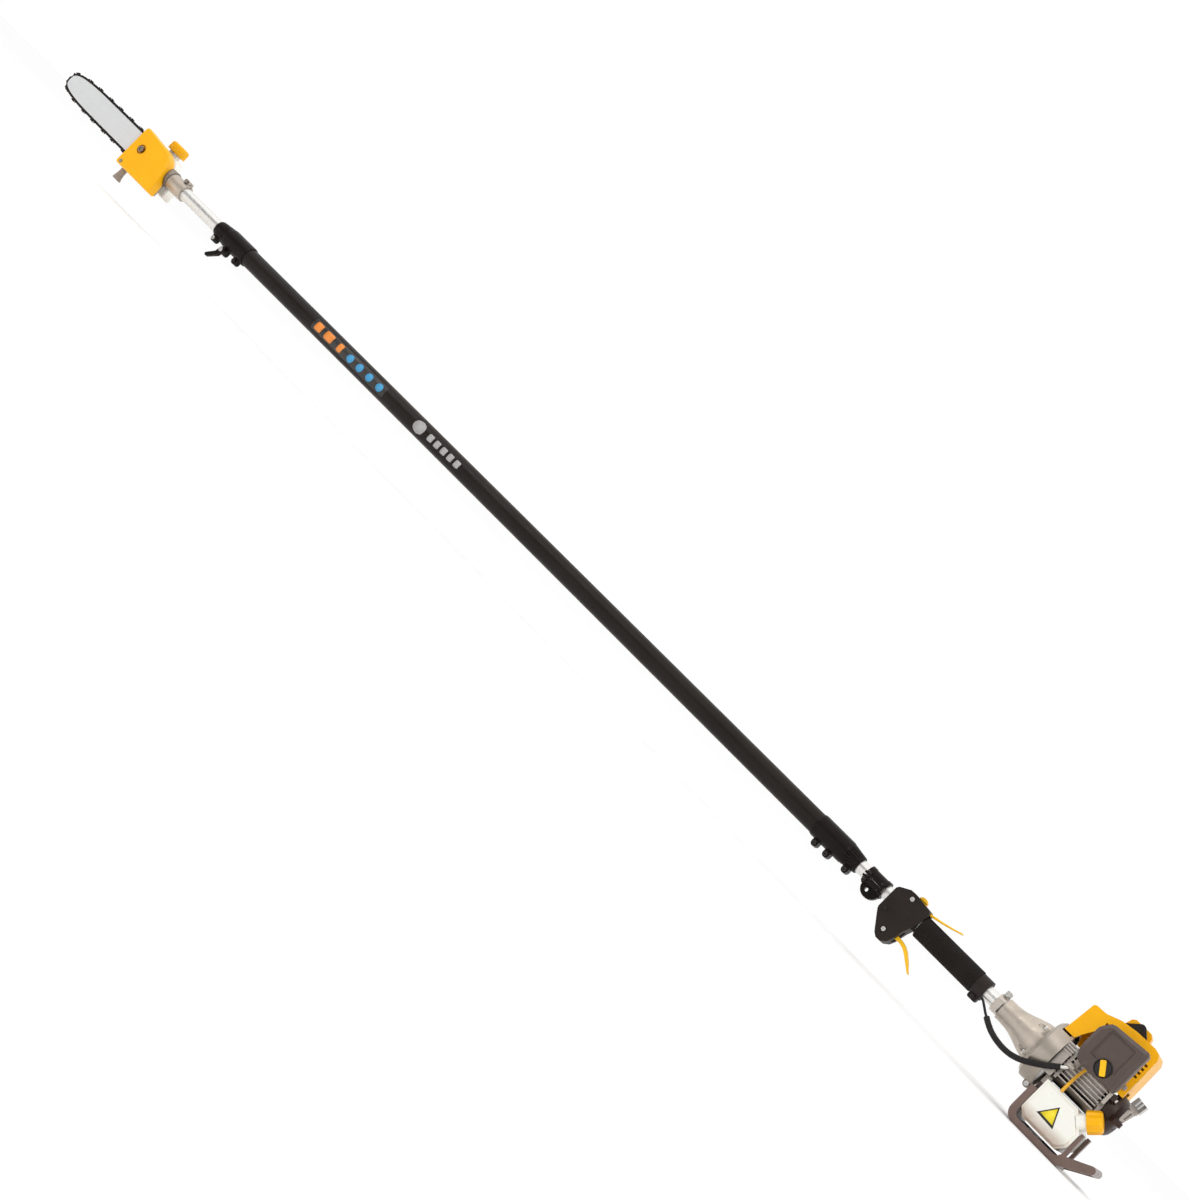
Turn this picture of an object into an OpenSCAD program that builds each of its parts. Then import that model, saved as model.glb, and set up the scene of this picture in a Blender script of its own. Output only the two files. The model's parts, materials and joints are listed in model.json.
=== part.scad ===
// Telescoping pole saw with a two-stroke engine.
// +X runs along the pole to the saw, +Y is the operator's left, +Z is up.
// The origin lies on the stand's flat sole, straight below the pole's axis.

/* [Pole] */
// Height of the pole's axis above the stand's sole
axis_z = 118; // [116:0.5:120]
// Outer diameter of the main tube
outer_tube_d = 40; // [39.6:0.1:40.4]
// Wall of the main tube
outer_tube_wall = 2; // [1.8:0.1:2.2]
// Outer diameter of the sliding tube
inner_tube_d = 29; // [28:0.1:30]
// Outer diameter of the lower tube
lower_tube_d = 26; // [25.6:0.1:26.4]
// Wall of the sliding tube and of the lower tube
tube_wall = 1.5; // [1.2:0.1:1.8]
// Rear end of the main tube
outer_tube_rear = 548; // [547:1:552]
// Front end of the main tube
outer_tube_front = 2378; // [2370:1:2379]
// Rear end of the sliding tube when it is pushed in
inner_tube_rear = 950; // [900:1:1100]
// Front end of the sliding tube when it is pushed in
inner_tube_front = 2598; // [2590:1:2600]

/* [Saw head] */
// Length of the bar from its tail to its tip
bar_length = 327; // [325:1:331]
// Width of the bar
bar_w = 52; // [50:0.5:52]
// Thickness of the bar
bar_t = 4; // [3.8:0.1:4.2]
// Width of the groove that the chain's drive links run in
bar_groove = 1.5; // [1.3:0.1:1.6]
// Height of the chain above the bar's rail
chain_h = 8; // [7:0.5:9]
// Width of the chain
chain_t = 6.5; // [6:0.1:7]
// Teeth on the drive sprocket
sprocket_teeth = 6; // [6:1:8]
// Teeth on the nose sprocket
nose_teeth = 9; // [8:1:10]
// Diameter of the oil cap
oil_cap_d = 45; // [40:1:46]

/* [Controls] */
// Width of the control housing
control_w = 36; // [35:0.5:38]
// Diameter of the foam grip
grip_d = 42; // [40:0.5:42]
// Width of the throttle trigger
trigger_w = 12; // [10:0.5:12]

/* [Engine] */
// Bore of the cylinder
bore_d = 40; // [39:0.5:41]
// Stroke of the piston
stroke = 28; // [26:1:28]
// Radius of the round fan housing
fan_housing_r = 57; // [56.5:0.5:57]
// Radius of the starter housing
starter_r = 37; // [36:0.5:37]
// Width of the fuel tank
tank_w = 136; // [130:1:136]
// Diameter of the fuel cap
fuel_cap_d = 38; // [36:0.5:38]
// Wall of the plastic covers
wall = 2.5; // [2:0.1:3]

/* [Stand] */
// Width of the stand
stand_w = 120; // [110:1:124]
// Thickness of the stand's floor and walls
stand_t = 12; // [10:0.5:12]

/* [Hidden] */
$fn = 64;
// Radial gap of a piece that turns or slides in another, and of a piece held in another.
run_gap = 0.05;
fit_gap = 0.02;
cut = 1;

outer_tube_r = outer_tube_d / 2;
outer_bore_r = outer_tube_r - outer_tube_wall;
inner_tube_r = inner_tube_d / 2;
inner_bore_r = inner_tube_r - tube_wall;
lower_tube_r = lower_tube_d / 2;
lower_bore_r = lower_tube_r - tube_wall;

// Stations along the pole.
x_neck = 172;
x_flange_face = 96;
x_fan_front = 88;
x_fan_rear = 55;
x_tube_clamp = [173, 188];
x_collar = [209, 231];
x_grip_front = 362;
x_harness = [445, 489];
x_lower_shoulder = 545;
x_upper_shoulder = 2380;
lower_tube_ends = [141, 540];

// Screws that run across the pole: [x, z, half length, head radius].
screw_r = 2.5;
screw_hole_r = screw_r + 0.1;
lower_clamp_screws = [[591, -27, 10, 4.4], [563, -27, 10, 4.4], [521, -23, 10, 4.4]];
upper_clamp_screws = [[2337, -27, 9, 4.4], [2416, -23, 9, 4.4]];
control_screws = [[399.5, 22, 18, 4], [422, -20, 18, 3.2], [399.5, -47, 18, 4]];
collar_screw = [220, -22, 8, 3.6];
lever_pivot = [2374, -29];

// Saw head.
sprocket_x = 2640;
bar_y = 14;
bar_z = 2;
bar_tail_x = 2668;
bar_tip_x = bar_tail_x + bar_length;
bar_rail_x = bar_tail_x + 26;
bar_taper_x = 2760;
stud_x = 2696;
nose_x = bar_tip_x - 17;
nose_r = 12.5;
nose_sprocket_t = 0.8;
sprocket_r = 17;
gear_shaft_r = 5;
pinion_r = 8.4;
gear_r = 10.5;
head_case_y = 10.2;
head_neck_r = 21.5;
pinch_at = [2569, 21.5];
cover_y = [9, 34];
oil_cap_at = [2682, -36];
oil_tank_top = 38;
oil_cap_z = 46;
oil_cap_h = 21;

// Engine.
cylinder_x = -4;
crank_throw = stroke / 2;
crank_pin_r = 5;
web_r = 21.5;
web_gap = 11;
web_t = 8;
crank_shaft_r = 7.5;
crank_nose_r = 6;
flywheel_r = 50;
wrist_pin_r = 4;
rod_length = 50;
piston_h = 26;
wrist_z = crank_throw + rod_length;
crown_z = wrist_z + 12;
cylinder_base_z = 32;
head_z = 104;
bearing_r = 15;
bearing_w = 9;
race_t = 1.6;
drum_bearing_r = 14;
drum_hub_r = 8;
drum_x = [92, 115];
drum_r = 28.8;
lower_shaft_r = 4;
lower_shaft_ends = [109, 2330];
upper_shaft_r = 7;
upper_shaft_ends = [1000, 2612];
knob_at = [-15.5, 43];
filter_y = [58, 94];
starter_post_r = 5;
starter_feet = [60, 120, 300];
starter_hole_x = [-62, -40];
cap_base = [-42, -43];
cap_y = 54.5;
handle_at = [-83, 44, 4];
handle_tilt = 8;

// Route of the throttle cable's thin end and of its sleeve, relative to the pole's axis.
cable_thin = [
    [208.3, 10.5, -12.7], [203, 11, -14], [195, 13, -19], [186, 16, -25], [178, 19, -29.5]
];
cable_sleeve = [
    [178, 19, -29.5], [168, 23, -35], [155, 28, -40.5], [140, 34, -44], [124, 41, -45.5], [108, 47, -44.5],
    [93, 53, -40.5], [79, 58, -34], [66, 62.5, -26], [54, 65.5, -17.5], [44, 67.5, -9.5], [35, 68, -2]
];
cable_ferrule = [[35, 68, -2], [30, 68, 2.2], [25, 68, 6.4]];

// Everything below is laid out from the pole's axis.
module on_axis() translate([0, 0, axis_z]) children();

// A rod, a ring and a turned shape along X.
module rod_x(x0, x1, r) translate([x0, 0, 0]) rotate([0, 90, 0]) cylinder(h = x1 - x0, r = r);
module ring_x(x0, x1, ro, ri) difference() {
    rod_x(x0, x1, ro);
    rod_x(x0 - cut, x1 + cut, ri);
}
module turned_x(points) rotate([0, 90, 0]) rotate_extrude() polygon(points);

// A rod across the pole and a plate whose outline lies in the XZ plane.
module rod_y(x, z, y0, y1, r) translate([x, y1, z]) rotate([90, 0, 0]) cylinder(h = y1 - y0, r = r);
module plate_y(y0, y1) translate([0, y1, 0]) rotate([90, 0, 0]) linear_extrude(y1 - y0) children();
module block(x, y, z) translate([x[0], y[0], z[0]]) cube([x[1] - x[0], y[1] - y[0], z[1] - z[0]]);

// A rectangle with round corners, from exact arcs.
module round_rect(x0, y0, x1, y1, r) {
    translate([x0 + r, y0]) square([x1 - x0 - 2 * r, y1 - y0]);
    translate([x0, y0 + r]) square([x1 - x0, y1 - y0 - 2 * r]);
    for (x = [x0 + r, x1 - r], y = [y0 + r, y1 - r]) translate([x, y]) circle(r);
}

// A tube swept along a route, with flat ends.
function unit(v) = v / norm(v);
function route_dir(p, i) = unit(p[min(i + 1, len(p) - 1)] - p[max(i - 1, 0)]);
function route_side(d) = unit(cross(d, [0, 1, 0]));
module swept(route, r, sides = 10) {
    n = len(route);
    rings = [for (i = [0:n - 1]) let (d = route_dir(route, i), u = route_side(d), v = cross(u, d))
        for (k = [0:sides - 1]) route[i] + r * (u * cos(360 * k / sides) + v * sin(360 * k / sides))];
    walls = [for (i = [0:n - 2], k = [0:sides - 1])
        [i * sides + k, i * sides + (k + 1) % sides, (i + 1) * sides + (k + 1) % sides, (i + 1) * sides + k]];
    near = [[for (k = [sides - 1:-1:0]) k]];
    far = [[for (k = [0:sides - 1]) (n - 1) * sides + k]];
    polyhedron(rings, concat(walls, near, far), convexity = 4);
}

// ---- Pole ----

module outer_tube() color("#2b2624") on_axis()
    ring_x(outer_tube_rear, outer_tube_front, outer_tube_r, outer_bore_r);

module lower_tube() color("#e6e4e0") on_axis()
    ring_x(lower_tube_ends[0], lower_tube_ends[1], lower_tube_r, lower_bore_r);

module inner_tube() color("#d8d6d2") on_axis()
    ring_x(inner_tube_rear, inner_tube_front, inner_tube_r, inner_bore_r);

// The guide ring on the sliding tube's tail, and the bushes that carry the upper shaft inside it.
module sliding_bushes() color("#33363a") on_axis() {
    ring_x(inner_tube_rear + 4, inner_tube_rear + 44, outer_bore_r - run_gap, inner_tube_r + fit_gap);
    for (x = [1040, 1420, 1800, 2180, 2540])
        ring_x(x, x + 24, inner_bore_r - fit_gap, upper_shaft_r + run_gap);
}

// Flutes cut into a clamp's nose.
module nose_flutes(x0, x1, r) for (a = [0:15:345])
    rotate([a, 0, 0]) translate([x0, -0.8, r]) cube([x1 - x0, 1.6, 6]);

// A rounded lug under the tube at one screw.
module clamp_lug(at, r, y0, y1) {
    rod_y(at[0], at[1], y0, y1, r);
    block([at[0] - r, at[0] + r], [y0, y1], [at[1], -12]);
}

module lower_clamp_body() {
    difference() {
        turned_x([[0, 507], [15.5, 507], [16.5, 508], [21, 538], [22, 541], [22, 608], [21, 612], [0, 612]]);
        nose_flutes(511, 536, 16.2);
    }
    for (s = lower_clamp_screws) clamp_lug(s, 6.5, -9, 9);
}
module lower_clamp_half(side) on_axis() difference() {
    intersection() {
        lower_clamp_body();
        translate([500, side > 0 ? 0.5 : -60.5, -60]) cube([120, 60, 120]);
    }
    rod_x(x_lower_shoulder, 620, outer_tube_r + fit_gap);
    rod_x(500, x_lower_shoulder + cut, lower_tube_r + fit_gap);
    for (s = lower_clamp_screws) rod_y(s[0], s[1], -12, 12, screw_hole_r);
}
module lower_clamp_left() color("#1d1a19") lower_clamp_half(1);
module lower_clamp_right() color("#1d1a19") lower_clamp_half(-1);

// One split collar: a rear part on the main tube and a fluted nose round the sliding tube.
module upper_clamp() color("#1d1a19") on_axis() difference() {
    union() {
        difference() {
            turned_x([[0, 2319], [21.5, 2319], [22.5, 2322], [22.5, 2385], [21.5, 2390], [17.8, 2423],
                [16.8, 2427], [0, 2427]]);
            nose_flutes(2392, 2422, 18);
        }
        for (s = upper_clamp_screws) clamp_lug(s, 6.5, -8, 8);
        clamp_lug(lever_pivot, 7, -8, 8);
    }
    rod_x(2310, x_upper_shoulder, outer_tube_r + fit_gap);
    rod_x(x_upper_shoulder - cut, 2440, inner_tube_r + run_gap);
    block([2310, 2440], [-0.8, 0.8], [-45, -10]);
    for (s = upper_clamp_screws) rod_y(s[0], s[1], -12, 12, screw_hole_r);
    rod_y(lever_pivot[0], lever_pivot[1], -12, 12, screw_hole_r);
}

// The cam lever on the left of the upper clamp, drawn open and pointing down.
module clamp_lever() color("#1a1817") on_axis() difference() {
    plate_y(8.4, 15.5) union() {
        translate(lever_pivot) circle(7.4);
        translate(lever_pivot) polygon([[-6.5, 3.5], [6.5, 3.5], [9.5, -10], [24, -25], [25.5, -28.5],
            [22, -31.5], [18, -30.5], [-2, -13]]);
    }
    rod_y(lever_pivot[0], lever_pivot[1], 0, 20, screw_r + run_gap);
}

// Upper and lower halves of the clamp that a harness hooks on to.
harness_gap = [-3.8, -1.4];
harness_eyelet = [471, -21];
harness_eyelet_r = 3.6;
harness_screw_at = [[453, 20.8], [481, 20.8], [453, -20.8], [481, -20.8]];
module harness_ring() {
    ring_x(x_harness[0], x_harness[1], 16, lower_tube_r + fit_gap);
    for (x = [x_harness[0], x_harness[1] - 8]) ring_x(x, x + 8, 17, lower_tube_r + fit_gap);
}
module harness_screw_holes() for (p = harness_screw_at)
    translate([p[0], p[1], -20]) cylinder(h = 40, r = screw_hole_r);
module harness_clamp_upper() color("#1f1b1a") on_axis() difference() {
    union() {
        intersection() {
            harness_ring();
            block([440, 495], [-30, 30], [harness_gap[1], 30]);
        }
        for (y = [[13.6, 25], [-25, -13.6]]) block(x_harness, y, [harness_gap[1], 3]);
    }
    harness_screw_holes();
}
module harness_clamp_lower() color("#1f1b1a") on_axis() difference() {
    union() {
        intersection() {
            harness_ring();
            block([440, 495], [-30, 30], [-30, harness_gap[0]]);
        }
        for (y = [[13.6, 25], [-25, -13.6]]) block(x_harness, y, [-8, harness_gap[0]]);
        difference() {
            plate_y(-5, 5) union() {
                translate([466, -14]) circle(19);
                translate([446, -18]) square([41, 8]);
            }
            rod_x(440, 495, lower_tube_r + 1);
        }
    }
    harness_screw_holes();
    rod_y(harness_eyelet[0], harness_eyelet[1], -10, 10, harness_eyelet_r);
}

// A screw across the pole with a socket head on the left and a nut on the right.
module cross_screw(x, z, half, head_r) {
    rod_y(x, z, -half - 3, half + cut, screw_r);
    difference() {
        rod_y(x, z, half, half + 3.2, head_r);
        plate_y(half + 1.2, half + 4) translate([x, z]) circle(1.8, $fn = 6);
    }
    plate_y(-half - 3.2, -half) translate([x, z]) circle(head_r, $fn = 6);
}
module pole_screws() color("#b9b7b2") on_axis() {
    for (s = concat(lower_clamp_screws, upper_clamp_screws)) cross_screw(s[0], s[1], s[2] - 1, s[3]);
    for (s = control_screws) cross_screw(s[0], s[1], s[2], s[3]);
    cross_screw(collar_screw[0], collar_screw[1], collar_screw[2], collar_screw[3]);
    rod_y(lever_pivot[0], lever_pivot[1], -11, 15.8, screw_r);
    rod_y(lever_pivot[0], lever_pivot[1], 15.8, 19, 4.8);
    plate_y(-11.2, -8) translate(lever_pivot) circle(4.6, $fn = 6);
    for (p = harness_screw_at) translate([p[0], p[1], 0]) {
        translate([0, 0, -8]) cylinder(h = 12, r = screw_r);
        translate([0, 0, 3]) cylinder(h = 3, r = 4);
        translate([0, 0, -11]) cylinder(h = 3, r = 4, $fn = 6);
    }
}

// ---- Controls ----

control_outline = [
    [433.6, 17], [430.5, 22], [411.7, 32], [402, 32.5], [366, 28.5], [362.5, 25], [362.5, 13], [365, -4],
    [373, -27], [378, -50], [382.5, -59.5], [391, -66], [400, -66], [407.5, -61], [431.5, -30], [433.6, -25]
];
trigger_pivot = [389, -41];
lockout_pivot = [372, 23.6];
switch_x = [379, 396];
pivot_pin_r = 2;

module control_shell() difference() {
    plate_y(-control_w / 2, control_w / 2) polygon(control_outline);
    plate_y(-control_w / 2 + wall, control_w / 2 - wall) offset(delta = -wall) polygon(control_outline);
}
module control_boss(at, r) rod_y(at[0], at[1], -control_w / 2 + cut, control_w / 2 - cut, r);

// One half of the housing, split along the tube, with slots for the levers and the switch.
module control_half(side) on_axis() difference() {
    intersection() {
        union() {
            control_shell();
            ring_x(x_grip_front + 2, x_grip_front + 8, lower_tube_r + 3, lower_tube_r + fit_gap);
            for (s = control_screws) control_boss(s, s[3] + 1.2);
            intersection() {
                plate_y(-control_w / 2, control_w / 2) polygon(control_outline);
                ring_x(424, 434, lower_tube_r + 5, lower_tube_r);
            }
        }
        translate([350, side > 0 ? 0.1 : -60.1, -80]) cube([100, 60, 140]);
    }
    rod_x(350, 440, lower_tube_r + fit_gap);
    block([355, 386], [-trigger_w / 2 - 0.5, trigger_w / 2 + 0.5], [-53, -27]);
    block([355, 377], [-6, 6], [17.5, 29.5]);
    block([switch_x[0] - 4.5, switch_x[1] + 0.5], [-4.5, 4.5], [26, 40]);
    for (s = control_screws) rod_y(s[0], s[1], -30, 30, screw_hole_r);
    rod_y(trigger_pivot[0], trigger_pivot[1], -control_w / 2 + 1, control_w / 2 - 1, pivot_pin_r + fit_gap);
    rod_y(lockout_pivot[0], lockout_pivot[1], -control_w / 2 + 1, control_w / 2 - 1, pivot_pin_r + fit_gap);
}
module control_housing_left() color("#2a2625") union() {
    control_half(1);
    on_axis() for (at = [trigger_pivot, lockout_pivot])
        rod_y(at[0], at[1], -control_w / 2 + 1.2, control_w / 2 - 0.8, pivot_pin_r);
}
module control_housing_right() color("#2a2625") control_half(-1);

// The trigger: a hub on its pin and a curved finger lever below the grip.
module throttle_trigger() color("#f4b81c") on_axis() difference() {
    plate_y(-trigger_w / 2, trigger_w / 2) union() {
        translate(trigger_pivot) circle(6);
        polygon([[389, -35], [376, -38.2], [365, -39], [356, -41.5], [347, -46.5], [334, -57.5], [322, -70],
            [320, -72.6], [322, -73], [336, -62.5], [348, -53.5], [358, -47.5], [368, -45.5], [389, -47]]);
    }
    rod_y(trigger_pivot[0], trigger_pivot[1], -10, 10, pivot_pin_r + run_gap);
}

// The lockout lever on top of the grip, which the palm presses down.
module throttle_lockout() color("#f4b81c") on_axis() difference() {
    plate_y(-5, 5) union() {
        translate(lockout_pivot) circle(3.6);
        polygon([[372, 27], [361, 27], [340, 30.8], [320, 35.5], [304, 40.2], [302, 39.8], [302, 38.2],
            [320, 32.4], [340, 27], [361, 22.6], [372, 20.2]]);
    }
    rod_y(lockout_pivot[0], lockout_pivot[1], -10, 10, pivot_pin_r + run_gap);
}

// The stop switch slides back along the top of the housing.
module stop_switch() color("#f4b81c") on_axis() {
    block([switch_x[0], switch_x[1]], [-4, 4], [27.4, 34]);
    plate_y(-5.5, 5.5) intersection() {
        translate([(switch_x[0] + switch_x[1]) / 2, 29]) circle(9.5);
        translate([switch_x[0], 33]) square([switch_x[1] - switch_x[0], 8]);
    }
}

module foam_grip() color("#262322") on_axis() difference() {
    turned_x([[0, 231.3], [grip_d / 2 - 1, 231.3], [grip_d / 2, 232.5], [grip_d / 2, 360.5],
        [grip_d / 2 - 1, 361.7], [0, 361.7]]);
    rod_x(225, 370, lower_tube_r + fit_gap);
}

// The collar that ends the grip and lets the cable out at its rear.
module grip_collar() color("#33302f") on_axis() difference() {
    union() {
        rod_x(x_collar[0], x_collar[1], 19.5);
        plate_y(-7, 7) round_rect(211, -27.5, 229, 0, 4);
    }
    rod_x(200, 240, lower_tube_r + fit_gap);
    rod_y(collar_screw[0], collar_screw[1], -12, 12, screw_hole_r);
}

module throttle_cable() color("#1b1817") on_axis() {
    swept(cable_thin, 2.2, 8);
    swept(cable_sleeve, 5.2, 10);
    swept(cable_ferrule, 2.6, 8);
}

// ---- Drive ----

// Collar with an upright ear that clamps the lower tube in the clutch housing's neck.
module tube_clamp() color("#cfccc6") on_axis() difference() {
    union() {
        rod_x(x_tube_clamp[0], x_tube_clamp[1], 17.5);
        plate_y(-9, 9) round_rect(176, 8, 185, 27, 2);
        block([174.5, 186.5], [8, 21], [-13, 8]);
    }
    rod_x(160, 200, lower_tube_r + fit_gap);
    block([160, 200], [-0.8, 0.8], [10, 40]);
    rod_y(180.5, 21.5, -20, 20, screw_hole_r);
}

flange_bolts = [[-26, -26], [26, -26], [-26, 26], [26, 26]];
flange_head_r = 4.4;
module flange_bolt_holes(x0, x1, r) for (p = flange_bolts)
    translate([x0, p[0], p[1]]) rotate([0, 90, 0]) cylinder(h = x1 - x0, r = r);

module clutch_housing() color("#c3bdb3") on_axis() difference() {
    union() {
        turned_x([[0, 88.2], [37, 88.2], [37, 98], [35.5, 104], [31.5, 116], [27, 128], [23, 140],
            [21, 151], [20.5, 160], [20.5, x_neck], [0, x_neck]]);
        translate([88.2, 0, 0]) rotate([90, 0, 90]) linear_extrude(x_flange_face - 88.2) round_rect(-34, -34, 34, 34, 8);
    }
    rod_x(84, drum_x[1] + 1.5, drum_r + 1.2);
    rod_x(100, 140.5, drum_bearing_r + fit_gap);
    rod_x(139, 180, lower_tube_r + fit_gap);
    flange_bolt_holes(80, 110, screw_hole_r);
    flange_bolt_holes(x_flange_face, 110, flange_head_r + 0.4);
}

module clutch_drum() color("#8d8984") on_axis() difference() {
    union() {
        rod_x(drum_x[0], drum_x[1], drum_r);
        rod_x(drum_x[1] - cut, 138, drum_hub_r);
    }
    rod_x(drum_x[0] - cut, drum_x[1] - 3, drum_r - 2);
    rod_x(100, 145, lower_shaft_r + fit_gap);
}

// Two clutch shoes on their carrier, which is screwed to the crankshaft.
module clutch_shoes() color("#6f6a66") on_axis() {
    difference() {
        rod_x(94, 109, drum_r - 2.6);
        rod_x(93, 110, 16);
        block([90, 112], [-3, 3], [-30, 30]);
    }
    difference() {
        union() {
            rod_x(95, 104, 11);
            block([96, 103], [-15.4, 15.4], [-5, 5]);
        }
        rod_x(90, 110, crank_nose_r + fit_gap);
    }
}

module lower_drive_shaft() color("#a5a29d") on_axis()
    rod_x(lower_shaft_ends[0], lower_shaft_ends[1], lower_shaft_r);

// Ball bearings of the drum and crankshaft, and the plain bushes that carry the lower shaft.
module bearing(x, w, ro, ri) on_axis() {
    ring_x(x, x + w, ro, ro - race_t);
    ring_x(x, x + w, ri + race_t, ri + run_gap);
    for (a = [0:45:315]) rotate([a, 0, 0]) translate([x + w / 2, (ro + ri) / 2, 0])
        sphere(r = (ro - ri) / 2 - race_t - run_gap);
}
module shaft_bearings() color("#9a9792") {
    bearing(118, 9, drum_bearing_r, drum_hub_r);
    bearing(129, 9, drum_bearing_r, drum_hub_r);
    bearing(cylinder_x + 22, bearing_w, bearing_r, crank_shaft_r);
    bearing(cylinder_x - 22 - bearing_w, bearing_w, bearing_r, crank_shaft_r);
    on_axis() {
        for (x = [200, 340, 480])
            ring_x(x, x + 20, lower_bore_r - fit_gap, lower_shaft_r + run_gap);
        ring_x(720, 745, outer_bore_r - fit_gap, lower_shaft_r + run_gap);
    }
}

// Tubular upper shaft that slides over the lower shaft and ends in the bevel pinion.
module upper_drive_shaft() color("#a5a29d") on_axis() {
    ring_x(upper_shaft_ends[0], upper_shaft_ends[1], upper_shaft_r, lower_shaft_r + run_gap);
    turned_x([[0, 2612], [pinion_r - 0.2, 2612], [pinion_r - 0.2, sprocket_x - gear_r + 0.1],
        [pinion_r - 3, sprocket_x - gear_r + 3.6], [0, sprocket_x - gear_r + 3.6]]);
}

// ---- Engine ----

fan_louvres = [43, 51];
fan_lug = [62, -59];
fan_lug_head_r = 4.6;
module fan_housing() color("#c9c3b9") on_axis() difference() {
    union() {
        turned_x([[0, x_fan_rear], [fan_housing_r, x_fan_rear], [fan_housing_r, 82],
            [fan_housing_r - 6, x_fan_front], [0, x_fan_front]]);
        plate_y(-8, 8) union() {
            translate(fan_lug) circle(7);
            translate([fan_lug[0] - 7, fan_lug[1]]) square([14, 20]);
        }
    }
    turned_x([[0, x_fan_rear - cut], [fan_housing_r - 3.5, x_fan_rear - cut], [fan_housing_r - 3.5, 79],
        [fan_housing_r - 8, 84], [0, 84]]);
    rod_x(80, 90, drum_r + 1.2);
    for (z = fan_louvres) block([60, 78], [20, 80], [z, z + 4]);
    rod_y(fan_lug[0], fan_lug[1], -12, 12, screw_hole_r);
    rod_y(fan_lug[0], fan_lug[1], 8, 13, fan_lug_head_r + 0.3);
    flange_bolt_holes(80, 92, screw_hole_r);
}

module flywheel() color("#a8a49d") on_axis() difference() {
    union() {
        rod_x(60, 67, flywheel_r);
        rod_x(60, 82, 14);
        for (a = [0:24:336]) rotate([a + 7, 0, 0]) block([66, 79.5], [-1.2, 1.2], [12, flywheel_r - 1.5]);
    }
    rod_x(50, 90, crank_nose_r + fit_gap);
}

// Crankcase: a round chamber for the webs between two bearing walls.
module crankcase() color("#b5afa6") on_axis() difference() {
    union() {
        rod_x(-48, x_fan_rear - 0.2, 27.5);
        block([-36, 30], [-30, 30], [0, 32]);
        // Front flange with ribs on both sides, and cooling ribs round the chamber.
        block([40, x_fan_rear - 0.2], [-44, 44], [-24, 39]);
        for (z = [22:5:37]) block([38, x_fan_rear - 0.2], [-46, 46], [z, z + 2.5]);
        for (z = [-15:7:20]) block([-40, 41], [-34, 34], [z, z + 2.4]);
        block([33, 38], [-34, 34], [-20, 30]);
        // Rear flange that carries the starter.
        block([-48.2, -42], [-43, 28], [-26, 26]);
        block([-48.2, -42], [0, 43], [4, 26]);
        // Foot that the stand bolts to.
        block([37.5, 49], [-14, 14], [-40, -20]);
    }
    rod_x(cylinder_x - 15, cylinder_x + 15, web_r + 1.5);
    rod_x(cylinder_x + 15 - cut, cylinder_x + 15 + 7 + bearing_w, bearing_r + fit_gap);
    rod_x(cylinder_x - 15 - 7 - bearing_w, cylinder_x - 15 + cut, bearing_r + fit_gap);
    rod_x(-60, x_fan_rear + 1, crank_shaft_r + 1);
    translate([cylinder_x, 0, 0]) cylinder(h = 40, r = bore_d / 2 + 1);
    starter_screw_holes();
}

module crankshaft() color("#9d9a95") on_axis() {
    rod_x(cylinder_x + web_gap / 2, cylinder_x + web_gap / 2 + web_t, web_r);
    rod_x(cylinder_x - web_gap / 2 - web_t, cylinder_x - web_gap / 2, web_r);
    rod_x(cylinder_x + web_gap / 2 + web_t - cut, 57, crank_shaft_r);
    rod_x(57 - cut, 104, crank_nose_r);
    rod_x(-54, cylinder_x - web_gap / 2 - web_t + cut, crank_shaft_r);
}

// Finned cylinder with its head; the bore is open at the bottom.
module cylinder_body() {
    translate([cylinder_x, 0, cylinder_base_z + 0.2]) cylinder(h = head_z - cylinder_base_z - 8, r = 26);
    for (z = [40:6.5:98]) translate([cylinder_x, 0, z]) linear_extrude(2.6) round_rect(-36, -31, 36, 31, 9);
    translate([cylinder_x, 0, 94]) cylinder(h = head_z - 94, r = 17);
    block([cylinder_x - 18, cylinder_x + 18], [20, 36], [46, 70]);
    block([cylinder_x - 18, cylinder_x + 18], [-36, -20], [46, 70]);
}
module cylinder_node() color("#b9b4ab") on_axis() difference() {
    cylinder_body();
    translate([cylinder_x, 0, 20]) cylinder(h = crown_z + 4 - 20, r = bore_d / 2);
    translate([cylinder_x, 0, crown_z]) cylinder(h = 40, r = 5.05);
    rod_y(cylinder_x + 2, 58, 15, 40, 8);
    rod_y(cylinder_x, 58, -40, -15, 8);
}

module piston() color("#cac6bf") on_axis() difference() {
    translate([cylinder_x, 0, crown_z - piston_h]) cylinder(h = piston_h, r = bore_d / 2 - run_gap);
    translate([cylinder_x, 0, crown_z - piston_h - cut]) cylinder(h = piston_h - 5 + cut, r = bore_d / 2 - 3.5);
    for (z = [crown_z - 4, crown_z - 8]) translate([cylinder_x, 0, z]) difference() {
        cylinder(h = 1.4, r = bore_d / 2 + 1);
        translate([0, 0, -cut]) cylinder(h = 5, r = bore_d / 2 - 1.2);
    }
    translate([0, 0, wrist_z]) rod_x(cylinder_x - 25, cylinder_x + 25, wrist_pin_r + fit_gap);
}

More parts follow.
